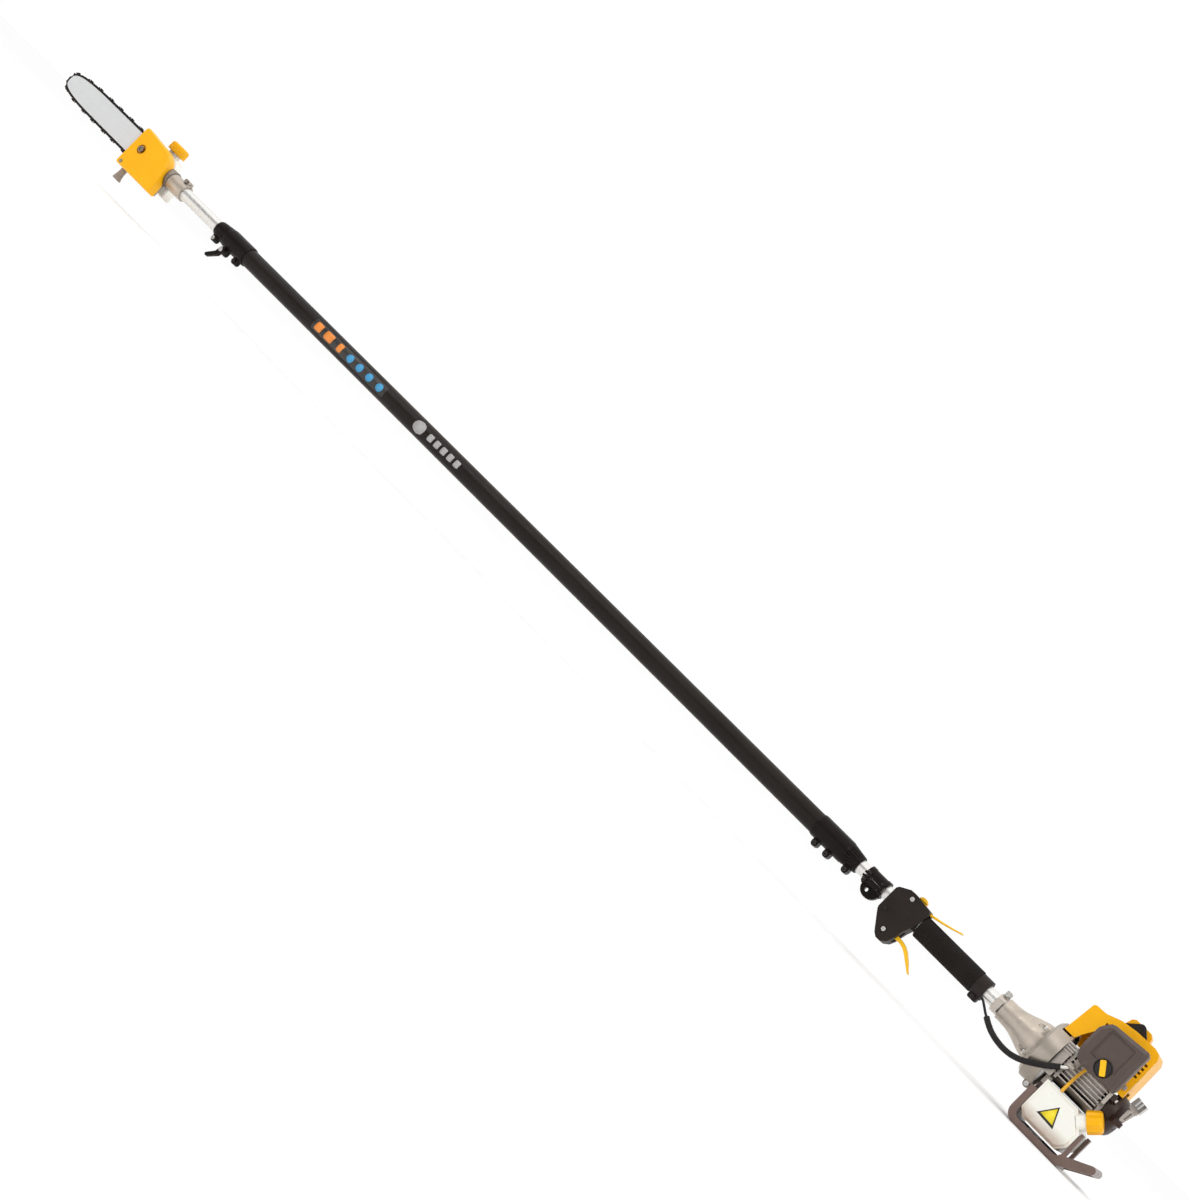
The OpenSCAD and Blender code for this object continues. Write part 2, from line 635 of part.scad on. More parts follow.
// Rod with its wrist pin and crank pin; the crank pin stops short of the webs.
module connecting_rod() color("#8f8b86") on_axis() {
    difference() {
        union() {
            translate([0, 0, crank_throw]) rod_x(cylinder_x - 5, cylinder_x + 5, 8.5);
            translate([0, 0, wrist_z]) rod_x(cylinder_x - 5, cylinder_x + 5, 7);
            block([cylinder_x - 3, cylinder_x + 3], [-4, 4], [crank_throw + 7, wrist_z - 5]);
        }
        translate([0, 0, crank_throw]) rod_x(cylinder_x - 8, cylinder_x + 8, crank_pin_r + run_gap);
        translate([0, 0, wrist_z]) rod_x(cylinder_x - 8, cylinder_x + 8, wrist_pin_r + run_gap);
    }
    translate([0, 0, crank_throw]) rod_x(cylinder_x - 5.2, cylinder_x + 5.2, crank_pin_r);
    translate([0, 0, wrist_z]) rod_x(cylinder_x - 18, cylinder_x + 18, wrist_pin_r);
}

module spark_plug() color("#e8e6e2") on_axis() translate([cylinder_x, 0, 0]) {
    translate([0, 0, crown_z + 5]) cylinder(h = head_z - crown_z - 5, r = 5);
    translate([0, 0, head_z]) cylinder(h = 5, r = 9, $fn = 6);
    translate([0, 0, head_z + 5]) cylinder(h = 14, r = 4);
    translate([0, 0, head_z + 19]) cylinder(h = 4, r = 2);
}

// Rubber boot over the plug, which widens towards the shroud.
module spark_plug_boot() color("#141211") on_axis() {
    difference() {
        union() {
            translate([cylinder_x, 0, head_z + 7]) cylinder(h = 22, r = 8);
            plate_y(-6.5, 6.5) hull() {
                translate([cylinder_x, head_z + 28]) circle(7.5);
                translate([19, head_z + 11]) circle(5);
                translate([-24, head_z + 11]) circle(5);
            }
        }
        translate([cylinder_x, 0, head_z]) cylinder(h = 19.1, r = 4.02);
        translate([cylinder_x, 0, head_z + 19]) cylinder(h = 5, r = 2.02);
    }
    rod_y(cylinder_x, head_z + 30, 6, 8.5, 2);
}

shroud_outline = [
    [77, 42], [70, 106], [66, 109], [46, 110], [22, 119], [-6, 123], [-44, 124], [-54, 121], [-59, 112],
    [-60, 60], [-60, 32], [-44, 32], [-44, 40], [38, 40], [38, 42]
];
shroud_y = [-72, 34];
muffler_outlet = [8, 84];
module shroud() color("#f4b400") on_axis() difference() {
    union() {
        plate_y(shroud_y[0], shroud_y[1]) polygon(shroud_outline);
        // Hood behind the plug boot.
        plate_y(-44, -16) polygon([[24, 116], [19, 134], [13, 138], [-18, 138], [-24, 133], [-27, 120]]);
    }
    plate_y(shroud_y[0] + wall, shroud_y[1] - wall) offset(delta = -wall) polygon(shroud_outline);
    block([-57, 72], [shroud_y[0] + wall, shroud_y[1] - wall], [30, 46]);
    plate_y(-44 + wall, -16 - wall) polygon([[20, 114], [16.5, 132], [12, 135.5], [-17, 135.5], [-21.5, 131],
        [-24, 114]]);
    // Mouth on the left for the intake, plug opening, and cooling slots.
    block([-36, 36], [28, 40], [30, 100]);
    plate_y(28, 40) polygon([[34, 30], [58, 30], [58, 42], [50, 60], [34, 88]]);
    translate([cylinder_x, 0, 100]) cylinder(h = 50, r = 11);
    block([-30.5, 25], [-9, 9], [108, 140]);
    for (z = [68, 76, 84, 92]) block([-54, -49], [28, 40], [z, z + 4]);
    for (x = [-30:12:42]) block([x, x + 6], [-80, -66], [56, 92]);
    rod_x(60, 80, fan_housing_r + 0.6);
    rod_x(x_fan_rear - 1, 62, fan_housing_r + 0.6);
    block([37, x_fan_rear + 1], [-47, 47], [30, 40]);
    rod_y(muffler_outlet[0], muffler_outlet[1], -80, -60, 8.5);
    block([-62, -56], [-22, 22], [30, 44]);
}

// Carburettor on the intake flange, with its throttle cable bracket and the plate that the filter clips on.
module carburettor() color("#b7b3ab") on_axis() difference() {
    union() {
        block([-20, 16], [36.3, 44], [44, 74]);
        block([-17, 14], [44, 54], [40, 76]);
        rod_y(-2, 58, 44, 54, 15);
        block([-12, 9], [44, 52], [32, 42]);
        block([12, 24], [46.5, 54], [44, 50]);
        block([17, 24], [46.5, 53], [8.5, 48]);
        block([18, 30], [46.5, 72], [8.5, 13]);
        plate_y(53.9, 57.8) filter_outline();
    }
    rod_y(-2, 58, 20, 60, 8);
}

module filter_outline() polygon([
    [33.5, 53], [33.5, 84.5], [30, 92], [22, 103], [16, 105.5], [-47, 110.4], [-51.5, 106], [-51.5, 36],
    [-49, 27.5], [-43, 24], [16, 23.3], [25, 27], [31, 36]
]);
module filter_outline_inset(d) offset(delta = -d) filter_outline();

module filter_element() color("#6c7a68") on_axis() difference() {
    plate_y(58.2, 76) filter_outline_inset(6);
    rod_y(-2, 58, 50, 70, 9);
    rod_y(knob_at[0], knob_at[1], 50, 80, 7);
}

// Boxy cover with bevelled edges and a round recess for the choke knob.
module filter_cover() color("#5d504c") on_axis() difference() {
    union() {
        plate_y(filter_y[0], 86) filter_outline();
        hull() {
            plate_y(86, 86.2) filter_outline();
            plate_y(93.9, filter_y[1]) filter_outline_inset(6);
        }
    }
    plate_y(filter_y[0] - cut, 88) filter_outline_inset(wall);
    plate_y(92.9, filter_y[1] + cut) round_rect(-34.5, 46, 15, 97, 2);
    rod_y(knob_at[0], knob_at[1], 90.5, 96, 15.5);
    rod_y(knob_at[0], knob_at[1], 80, 96, 5 + run_gap);
}

module choke_knob() color("#f4b400") on_axis() {
    rod_y(knob_at[0], knob_at[1], 80, 92, 5);
    rod_y(knob_at[0], knob_at[1], 90.9, 92.4, 13);
    translate([knob_at[0], 0, knob_at[1]]) rotate([0, -53, 0]) plate_y(92.3, 98.5)
        round_rect(-12.6, -4.6, 12.6, 4.6, 2);
}

module muffler() color("#4b4644") on_axis() difference() {
    union() {
        block([-38, 24], [-66, -38], [48, 92]);
        block([-22, 14], [-38, -36.2], [46, 70]);
        rod_y(muffler_outlet[0], muffler_outlet[1], -76, -60, 7);
    }
    rod_y(muffler_outlet[0], muffler_outlet[1], -90, -50, 5);
    rod_y(cylinder_x, 58, -50, -30, 8);
    block([-35.5, 21.5], [-63.5, -40.5], [50.5, 89.5]);
}

module starter_screw_holes() for (a = starter_feet) rotate([a, 0, 0]) translate([0, 0, 42])
    rod_x(starter_hole_x[0], starter_hole_x[1], screw_hole_r);

// Recoil starter: a domed housing on the crank axis with the rope guide on its left.
module starter_shell() on_axis() difference() {
    union() {
        turned_x([[0, -50.4], [starter_r, -50.4], [starter_r, -66], [starter_r - 2, -71],
            [starter_r - 6, -76], [starter_r - 11, -79.5], [starter_r - 17, -81], [0, -81]]);
        for (a = starter_feet) rotate([a, 0, 0]) block([-56, -48.4], [-6, 6], [33, 47]);
        hull() {
            block([-78, -66], [30, 36], [-8, 3]);
            block([-90, -76], [38, 50], [-6, 3]);
        }
    }
    turned_x([[0, -49], [starter_r - 3, -49], [starter_r - 3, -66], [starter_r - 9, -75], [0, -78]]);
    for (a = [15:30:345]) rotate([a, 0, 0]) block([-90, -74], [-2, 2], [11, 22]);
    starter_screw_holes();
    translate([handle_at[0], handle_at[1], -20]) cylinder(h = 40, r = 2);
}
module starter_housing() color("#5b514e") {
    starter_shell();
    on_axis() rod_x(-79, -55.5, starter_post_r);
}

module starter_pulley() color("#e2ded6") on_axis() difference() {
    turned_x([[0, -56], [28, -56], [28, -58], [23, -60.5], [23, -63], [28, -65.5], [28, -68], [0, -68]]);
    rod_x(-70, -50, starter_post_r + run_gap);
}

module starter_handle() color("#c8c5c0") on_axis()
    translate(handle_at) rotate([0, -handle_tilt, 0]) difference() {
        union() {
            hull() {
                cylinder(h = 1, r = 5, $fn = 32);
                translate([-7, -6, 24]) cube([14, 12, 1]);
            }
            translate([-8.5, -7, 24]) cube([17, 14, 5]);
            translate([-10, -16, 29]) cube([20, 32, 17]);
        }
        for (x = [-4.5, 1.5]) translate([x, -20, 33]) cube([3, 40, 20]);
        for (y = [-10, 4]) translate([-3.6, y, 6]) cube([2.6, 6, 15]);
    }

tank_outline = [
    [36, -29], [-28, -29], [-57, -57], [-57, -84], [-44, -100], [24, -100], [36, -88]
];
module cap_axis() translate([cap_base[0], cap_y, cap_base[1]]) rotate([0, -45, 0]) children();
module fuel_tank() color("#f3f1ea") on_axis() difference() {
    union() {
        plate_y(-tank_w / 2 + 5, tank_w / 2 - 5) polygon(tank_outline);
        hull() for (y = [-tank_w / 2, tank_w / 2 - 0.2]) plate_y(y, y + 0.2) offset(delta = -5) polygon(tank_outline);
        cap_axis() translate([0, 0, -4]) cylinder(h = 16, r = 13.5);
        cap_axis() cylinder(h = 26, r = 13);
    }
    hull() for (y = [-tank_w / 2 + 2, tank_w / 2 - 2.2]) plate_y(y, y + 0.2)
        offset(delta = -7) polygon(tank_outline);
    cap_axis() translate([0, 0, -8]) cylinder(h = 50, r = 11);
}
module fuel_cap() color("#f4b400") on_axis() cap_axis() translate([0, 0, 12.3]) difference() {
    union() {
        cylinder(h = 22, r = fuel_cap_d / 2);
        translate([0, 0, 22]) cylinder(h = 3.5, r1 = fuel_cap_d / 2, r2 = fuel_cap_d / 2 - 3.5);
    }
    translate([0, 0, -cut]) cylinder(h = 19, r = 13 + 0.3);
    for (a = [0:15:345]) rotate([0, 0, a]) translate([fuel_cap_d / 2 - 0.6, -1, 2]) cube([2, 2, 16]);
}

fuel_hose_route = [
    [9, 57, -29], [9, 57, -18], [9, 55.5, -4], [8.5, 53, 8], [7.5, 50, 18], [6.2, 48.4, 25], [5.5, 48, 28.8],
    [5.5, 48, 31.8]
];
module fuel_hose() color("#e0a028") on_axis() swept(fuel_hose_route, 3, 10);

// Moulded stand: a cradle round the tank with a foot bar at the rear.
module stand_profile() difference() {
    union() {
        round_rect(-64, -118, 49, -60, 20);
        translate([-64, -80]) square([113, 28]);
        translate([-64, -118]) square([40, 40]);
    }
    union() {
        round_rect(-64 + 7, -118 + stand_t, 49 - stand_t, -60, 10);
        translate([-57.5, -95]) square([94.8, 60]);
    }
}
foot_bar_at = [-106, -82];
module stand() color("#6e625f") on_axis() difference() {
    union() {
        plate_y(-stand_w / 2, stand_w / 2) stand_profile();
        for (y = [-stand_w / 2, stand_w / 2 - 14]) plate_y(y, y + 14)
            polygon([[-55, -116], [-55, -100], [-102.5, -76], [-109.5, -88], [-62, -116]]);
        plate_y(-stand_w / 2, stand_w / 2) translate(foot_bar_at) circle(7);
        block([37.5, 49], [-16, 16], [-54, -40.2]);
    }
    block([30, 60], [-40, 40], [-96, -64]);
    for (x = [[-50, -12], [12, 28]]) block(x, [-44, 44], [-120, -100]);
    block([-70, -50], [-44, 44], [-100, -40]);
}

// Bolts of the clutch flange, the fan housing's lug, the starter and the shroud.
module engine_screws() color("#d2cfca") on_axis() {
    for (p = flange_bolts) translate([84.5, p[0], p[1]]) rotate([0, 90, 0]) {
        cylinder(h = 12, r = screw_r);
        translate([0, 0, 11.6]) cylinder(h = 4, r = flange_head_r);
    }
    rod_y(fan_lug[0], fan_lug[1], -8.5, 11, screw_r);
    rod_y(fan_lug[0], fan_lug[1], 8.2, 12, fan_lug_head_r);
    for (a = starter_feet) rotate([a, 0, 0]) translate([-59.8, 0, 42]) rotate([0, 90, 0]) {
        cylinder(h = 3.6, r = 3.6);
        cylinder(h = 16, r = screw_r);
    }
    rod_y(180.5, 21.5, -12, 12, screw_r);
    rod_y(180.5, 21.5, 9.2, 12.5, 4.4);
    rod_y(-52, 46, 34.2, 37, 4.2);
}

// ---- Saw head ----

function bar_half(u) = bar_w / 2 * pow(1 - pow(u, 5), 0.3);
bar_arc = [for (a = [0:5:85]) sin(a)];
bar_upper = [for (u = bar_arc) [bar_taper_x + (bar_tip_x - bar_taper_x) * u, bar_z + bar_half(u)]];
bar_lower = [for (i = [len(bar_arc) - 1:-1:0]) [bar_upper[i][0], 2 * bar_z - bar_upper[i][1]]];
module bar_outline() polygon(concat(
    [[bar_tail_x, bar_z - 16], [bar_tail_x, bar_z + 16], [bar_rail_x, bar_z + bar_w / 2]],
    bar_upper, [[bar_tip_x, bar_z]], bar_lower, [[bar_rail_x, bar_z - bar_w / 2]]));

module guide_bar() color("#dcdcdc") on_axis() difference() {
    plate_y(bar_y - bar_t / 2, bar_y + bar_t / 2) bar_outline();
    plate_y(bar_y - bar_groove / 2, bar_y + bar_groove / 2) difference() {
        bar_outline();
        offset(delta = -5) bar_outline();
    }
    difference() {
        rod_y(nose_x, bar_z, bar_y - bar_groove / 2, bar_y + bar_groove / 2, nose_r + 0.6);
        rod_y(nose_x, bar_z, bar_y - 1, bar_y + 1, 3);
    }
    plate_y(bar_y - 5, bar_y + 5) round_rect(stud_x - 14, bar_z - 4.6, stud_x + 14, bar_z + 4.6, 4.5);
    for (s = [-1, 1]) rod_y(stud_x - 4, bar_z + s * 12, bar_y - 5, bar_y + 5, 3);
}

module nose_sprocket() color("#8a8783") on_axis() difference() {
    plate_y(bar_y - nose_sprocket_t / 2, bar_y + nose_sprocket_t / 2) translate([nose_x, bar_z]) union() {
        circle(9.5);
        for (i = [0:nose_teeth - 1]) rotate(i * 360 / nose_teeth)
            polygon([[8, -2.6], [nose_r, -0.9], [nose_r, 0.9], [8, 2.6]]);
    }
    rod_y(nose_x, bar_z, bar_y - 4, bar_y + 4, 3 + run_gap);
}

// Loop that the chain follows: the bar's rails, closed round the drive sprocket.
module chain_path() polygon(concat(
    [for (a = [110:10:250]) [sprocket_x + (sprocket_r + 0.2) * cos(a), (sprocket_r + 0.2) * sin(a)]],
    [[bar_rail_x, bar_z - bar_w / 2]],
    [for (i = [0:len(bar_lower) - 1]) bar_lower[len(bar_lower) - 1 - i]],
    [[bar_tip_x, bar_z]],
    [for (i = [0:len(bar_upper) - 1]) bar_upper[len(bar_upper) - 1 - i]],
    [[bar_rail_x, bar_z + bar_w / 2]]));
module saw_chain() color("#3a3634") on_axis() difference() {
    union() {
        plate_y(bar_y - chain_t / 2, bar_y + chain_t / 2) difference() {
            offset(delta = chain_h - 2.5) chain_path();
            offset(delta = 0.4) chain_path();
        }
        // Raised cutters along both straight runs.
        for (x = [2745:38.1:2900], s = [-1, 1]) translate([x, bar_y, bar_z + s * (bar_w / 2 + 4.5)])
            cube([15, chain_t, 7], center = true);
    }
}

module gear_head() color("#a49d94") on_axis() difference() {
    union() {
        // Socket for the sliding tube.
        rod_x(2556, 2604, 19);
        plate_y(-9, 9) round_rect(2562, 10, 2576, 26, 3);
        // Gear case.
        rod_x(2603, 2632, head_neck_r);
        translate([2640, 0, 0]) sphere(r = head_neck_r);
        rod_y(2640, 0, -24, 9, 20);
        // Plate behind the cover that the bar bolts to.
        difference() {
            plate_y(3, 8.8) polygon([[2722, -50], [2722, 42], [2645, 36], [2612, 10], [2608, -50]]);
            rod_y(2640, 0, -5, 10, 19);
        }
        rod_y(stud_x, bar_z, 3, bar_y - bar_t / 2, 13);
        rod_y(stud_x, bar_z, 3, 36, 4);
    }
    rod_x(2550, inner_tube_front, inner_tube_r + fit_gap);
    rod_x(2590, 2612, 12);
    rod_x(2611, 2640, pinion_r + 0.4);
    // Flat side of the gear case, behind the sprocket and the chain.
    block([2616.5, 2682], [head_case_y, 30], [-30, 30]);
    rod_y(2640, 0, -19, 4, 14.5);
    rod_y(2640, 0, -30, 20, gear_shaft_r + run_gap);
    block([2550, 2585], [-0.8, 0.8], [12, 40]);
    rod_y(pinch_at[0], pinch_at[1], -20, 20, screw_hole_r);
}

// The bevel gear and the cross shaft that carries the drive sprocket.
module bevel_gear() color("#8f8b86") on_axis() {
    rod_y(sprocket_x, 0, -22, 21, gear_shaft_r);
    translate([sprocket_x, -pinion_r - 0.3, 0]) rotate([-90, 0, 0])
        cylinder(h = 3, r1 = gear_r - 0.2, r2 = gear_r - 3.95);
    rod_y(sprocket_x, 0, -16, -pinion_r - 0.3, gear_r - 0.2);
}

module drive_sprocket() color("#7d7975") on_axis() difference() {
    plate_y(10.6, 17.4) translate([sprocket_x, 0]) union() {
        circle(13.5);
        for (i = [0:sprocket_teeth - 1]) rotate(i * 360 / sprocket_teeth)
            polygon([[12, -4], [16.6, -1.6], [16.6, 1.6], [12, 4]]);
    }
    rod_y(sprocket_x, 0, 5, 25, gear_shaft_r + fit_gap);
}

module cover_outline() translate([3, 0]) {
    polygon([[2725, -50], [2725, 42], [2721, 46], [2717, 46.5], [2645, 39.5], [2634, 36.5], [2623, 30], [2615, 20],
        [2611, 8], [2604, -30], [2603, -52], [2605, -54], [2719, -54], [2723, -53]]);
}
module sprocket_cover() color("#f9b500") on_axis() difference() {
    union() {
        plate_y(cover_y[0], cover_y[1] - 4) cover_outline();
        hull() {
            plate_y(cover_y[1] - 4, cover_y[1] - 3.8) cover_outline();
            plate_y(cover_y[1] - 0.2, cover_y[1]) offset(delta = -3) cover_outline();
        }
    }
    plate_y(cover_y[0] - cut, cover_y[1] - 6) offset(delta = -wall) cover_outline();
    // Notch round the gear head's neck, and the front mouth for the bar and chain.
    rod_x(2590, 2617.5, head_neck_r + 0.4);
    block([2600, sprocket_x], [cover_y[0] - cut, head_case_y + 0.4], [-head_neck_r - 0.4, head_neck_r + 0.4]);
    block([2718, 2733], [cover_y[0] - cut, 20], [-36, 40]);
    rod_y(stud_x, bar_z, cover_y[1] - 3, cover_y[1] + 2, 11);
    rod_y(stud_x, bar_z, 0, 40, 4.2);
    rod_y(2714, -46, 0, 40, screw_hole_r);
}

// Bar nut, cover screw and the gear head's pinch screw.
module head_fasteners() color("#bdbab5") on_axis() {
    difference() {
        plate_y(cover_y[1] - 2.9, cover_y[1] + 3.6) translate([stud_x, bar_z]) circle(7.4, $fn = 6);
        rod_y(stud_x, bar_z, 20, 50, 4.02);
    }
    rod_y(2714, -46, 9, cover_y[1], 2.4);
    rod_y(2714, -46, cover_y[1] + 0.1, cover_y[1] + 1.6, 4);
    rod_y(pinch_at[0], pinch_at[1], -11, 10, screw_r);
    rod_y(pinch_at[0], pinch_at[1], 9.2, 13, 4.4);
}

oil_outline = [
    [2700, -42], [2700, 30], [2692, oil_tank_top], [2660, oil_tank_top], [2652, 12], [2618, -14], [2618, -42]
];
module oil_tank() color("#eeede8") on_axis() difference() {
    union() {
        hull() for (y = [[-56, 3], [-52, 0], [-28, 0], [-25, 3]])
            plate_y(y[0], y[0] + 0.2) offset(delta = -y[1]) polygon(oil_outline);
        translate([oil_cap_at[0], oil_cap_at[1], oil_tank_top - 3]) cylinder(h = 11, r = 15);
        translate([oil_cap_at[0], oil_cap_at[1], oil_tank_top - 3]) cylinder(h = 24, r = 13);
    }
    hull() for (y = [-53, -28]) plate_y(y, y + 0.2) offset(delta = -5) polygon(oil_outline);
    translate([oil_cap_at[0], oil_cap_at[1], 20]) cylinder(h = 60, r = 11);
}
module oil_cap() color("#f9b500") on_axis() translate([oil_cap_at[0], oil_cap_at[1], oil_cap_z + 0.3]) difference() {
    union() {
        cylinder(h = oil_cap_h - 3, r = oil_cap_d / 2);
        translate([0, 0, oil_cap_h - 3]) cylinder(h = 3, r1 = oil_cap_d / 2, r2 = oil_cap_d / 2 - 3);
    }
    translate([0, 0, -cut]) cylinder(h = 15, r = 13.3);
    for (a = [0:12:348]) rotate([0, 0, a]) translate([oil_cap_d / 2 - 0.6, -1, 3]) cube([2, 2, 14]);
}

// Cast hook below the cover that pulls cut branches down.
module limb_hook() color("#a89d94") on_axis() plate_y(-4, 2.8) polygon([
    [2727, -30], [2713, -30], [2712.5, -58], [2712, -66], [2710, -74], [2707, -80], [2707, -83], [2730, -83],
    [2729, -76], [2727, -66], [2727, -58]
]);

outer_tube();
lower_tube();
inner_tube();
sliding_bushes();
lower_clamp_left();
lower_clamp_right();
upper_clamp();
clamp_lever();
harness_clamp_upper();
harness_clamp_lower();
pole_screws();
control_housing_left();
control_housing_right();
throttle_trigger();
throttle_lockout();
stop_switch();
foam_grip();
grip_collar();
throttle_cable();
tube_clamp();
clutch_housing();
clutch_drum();
clutch_shoes();
lower_drive_shaft();
shaft_bearings();
upper_drive_shaft();
fan_housing();
flywheel();
crankcase();
crankshaft();
cylinder_node();  // cylinder
piston();
connecting_rod();
spark_plug();
spark_plug_boot();
shroud();
carburettor();
filter_element();
filter_cover();
choke_knob();
muffler();
starter_housing();
starter_pulley();
starter_handle();
fuel_tank();
fuel_cap();
fuel_hose();
stand();
engine_screws();
gear_head();
bevel_gear();
drive_sprocket();
guide_bar();
nose_sprocket();
saw_chain();
sprocket_cover();
head_fasteners();
oil_tank();
oil_cap();
limb_hook();
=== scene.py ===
"""Looks of the telescoping pole saw. Lengths are metres unless a name or a helper says millimetres."""

import json
import math

import bmesh
import bpy
from mathutils import Matrix, Vector


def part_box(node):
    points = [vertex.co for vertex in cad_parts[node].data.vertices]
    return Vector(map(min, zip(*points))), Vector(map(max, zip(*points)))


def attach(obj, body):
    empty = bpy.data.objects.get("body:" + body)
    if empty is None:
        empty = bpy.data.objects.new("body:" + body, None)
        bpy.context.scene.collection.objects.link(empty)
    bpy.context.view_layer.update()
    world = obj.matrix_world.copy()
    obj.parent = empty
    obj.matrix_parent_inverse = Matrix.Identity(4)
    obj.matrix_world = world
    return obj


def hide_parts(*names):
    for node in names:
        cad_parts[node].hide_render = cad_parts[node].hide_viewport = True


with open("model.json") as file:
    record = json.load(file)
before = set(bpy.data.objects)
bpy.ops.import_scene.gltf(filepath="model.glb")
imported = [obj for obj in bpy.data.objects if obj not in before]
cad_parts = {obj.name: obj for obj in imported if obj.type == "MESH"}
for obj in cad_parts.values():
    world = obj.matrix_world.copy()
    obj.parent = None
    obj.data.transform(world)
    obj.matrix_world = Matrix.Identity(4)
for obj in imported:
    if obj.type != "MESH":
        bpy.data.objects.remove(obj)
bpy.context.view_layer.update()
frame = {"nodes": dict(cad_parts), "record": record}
NODES = frame["nodes"]
BODY_OF = {n: b for b, members in frame["record"]["behaviour"]["bodies"].items() for n in members}
MM = 0.001
TUBE_LO, TUBE_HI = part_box("outer_tube")
AXIS_Z = (TUBE_LO.z + TUBE_HI.z) / 2
TUBE_R = (TUBE_HI.z - TUBE_LO.z) / 2


def at(x, y, z):
    """A point in millimetres, with its height taken from the pole's axis."""
    return Vector((x * MM, y * MM, AXIS_Z + z * MM))


# ---- Materials ----

class Net:
    """One material's node tree."""

    def __init__(self, name):
        self.mat = bpy.data.materials.new(name)
        self.mat.use_nodes = True
        self.tree = self.mat.node_tree
        self.tree.nodes.clear()
        self.out = self.node("ShaderNodeOutputMaterial")
        self.shader = self.node("ShaderNodeBsdfPrincipled")
        self.link(self.shader.outputs[0], self.out.inputs[0])
        self.coords = self.node("ShaderNodeTexCoord").outputs["Object"]

    def node(self, kind, **values):
        made = self.tree.nodes.new(kind)
        for key, value in values.items():
            setattr(made, key, value)
        return made

    def link(self, a, b):
        self.tree.links.new(a, b)

    def stretched(self, scale):
        m = self.node("ShaderNodeMapping")
        m.inputs["Scale"].default_value = scale
        self.link(self.coords, m.inputs["Vector"])
        return m.outputs[0]

    def noise(self, scale, detail=4.0, rough=0.55, vector=None):
        n = self.node("ShaderNodeTexNoise")
        n.inputs["Scale"].default_value = scale
        n.inputs["Detail"].default_value = detail
        n.inputs["Roughness"].default_value = rough
        self.link(vector or self.coords, n.inputs["Vector"])
        return n.outputs["Fac"]

    def cells(self, scale):
        n = self.node("ShaderNodeTexVoronoi", feature="F1")
        n.inputs["Scale"].default_value = scale
        self.link(self.coords, n.inputs["Vector"])
        return n.outputs["Distance"]

    def ramp(self, value, low, high, to_low=0.0, to_high=1.0):
        m = self.node("ShaderNodeMapRange")
        m.inputs["From Min"].default_value = low
        m.inputs["From Max"].default_value = high
        m.inputs["To Min"].default_value = to_low
        m.inputs["To Max"].default_value = to_high
        self.link(value, m.inputs["Value"])
        return m.outputs["Result"]

    def math(self, op, a, b=None):
        m = self.node("ShaderNodeMath", operation=op)
        for socket, value in zip(m.inputs, (a, b)):
            if value is None:
                continue
            if isinstance(value, (int, float)):
                socket.default_value = value
            else:
                self.link(value, socket)
        return m.outputs[0]

    def mix(self, fac, a, b):
        m = self.node("ShaderNodeMix", data_type="RGBA")
        self.link(fac, m.inputs[0])
        for socket, value in ((m.inputs[6], a), (m.inputs[7], b)):
            if isinstance(value, tuple):
                socket.default_value = (*value, 1.0)
            else:
                self.link(value, socket)
        return m.outputs[2]

    def edges(self, radius):
        """Near 1 along convex and concave edges."""
        b = self.node("ShaderNodeBevel", samples=6)
        b.inputs["Radius"].default_value = radius
        g = self.node("ShaderNodeNewGeometry")
        d = self.node("ShaderNodeVectorMath", operation="DOT_PRODUCT")
        self.link(b.outputs[0], d.inputs[0])
        self.link(g.outputs["Normal"], d.inputs[1])
        return self.ramp(d.outputs["Value"], 0.995, 0.86)

    def hollows(self, reach):
        """Near 1 in narrow gaps and inner corners, where shade falls: the mask used to paint shade."""
        a = self.node("ShaderNodeAmbientOcclusion", samples=6)
        a.inputs["Distance"].default_value = reach
        return self.ramp(a.outputs["AO"], 0.72, 0.2)

    def bump(self, height, distance, strength=1.0, below=None):
        b = self.node("ShaderNodeBump")
        b.inputs["Strength"].default_value = strength
        b.inputs["Distance"].default_value = distance
        self.link(height, b.inputs["Height"])
        if below is not None:
            self.link(below, b.inputs["Normal"])
        return b.outputs[0]

    def finish(self, colour, rough, normal=None, metal=0.0, **sockets):
        self.link(colour, self.shader.inputs["Base Color"])
        self.link(rough, self.shader.inputs["Roughness"])
        self.shader.inputs["Metallic"].default_value = metal
        if normal is not None:
            self.link(normal, self.shader.inputs["Normal"])
        for key, value in sockets.items():
            self.shader.inputs[key.replace("_", " ")].default_value = value
        return self.mat


def shade(colour, k):
    return tuple(min(1.0, c * k) for c in colour)


def moulded(name, colour, rough=0.38, grain=900.0, depth=0.00005, spread=0.10, wear=None, wear_r=0.0008,
            dust=None, hollow_shade=None, **sockets):
    """Moulded or painted surface: slow colour drift, fine grain, worn or dusty edges, and painted shade
    darkening its hollows when a hollow colour is given.
    """
    n = Net(name)
    drift = n.ramp(n.noise(22.0, 3.0), 0.3, 0.7)
    tone = n.mix(drift, shade(colour, 1 - spread), shade(colour, 1 + spread * 0.7))
    fine = n.noise(grain, 5.0)
    if dust:
        tone = n.mix(n.ramp(n.noise(70.0, 6.0, 0.7), 0.52, 0.74, 0.0, 0.35), tone, dust)
    gloss = n.ramp(n.noise(60.0, 5.0, 0.65), 0.3, 0.7, rough * 0.85, min(1.0, rough * 1.2))
    if wear:
        patch = n.ramp(n.noise(160.0, 5.0, 0.7), 0.42, 0.62)
        tone = n.mix(n.math("MULTIPLY", n.edges(wear_r), patch), tone, wear)
    # Painted shade: narrow gaps and inner corners take the darker hollow colour.
    if hollow_shade:
        tone = n.mix(n.hollows(0.010), tone, hollow_shade)
    return n.finish(tone, gloss, n.bump(fine, depth), **sockets)


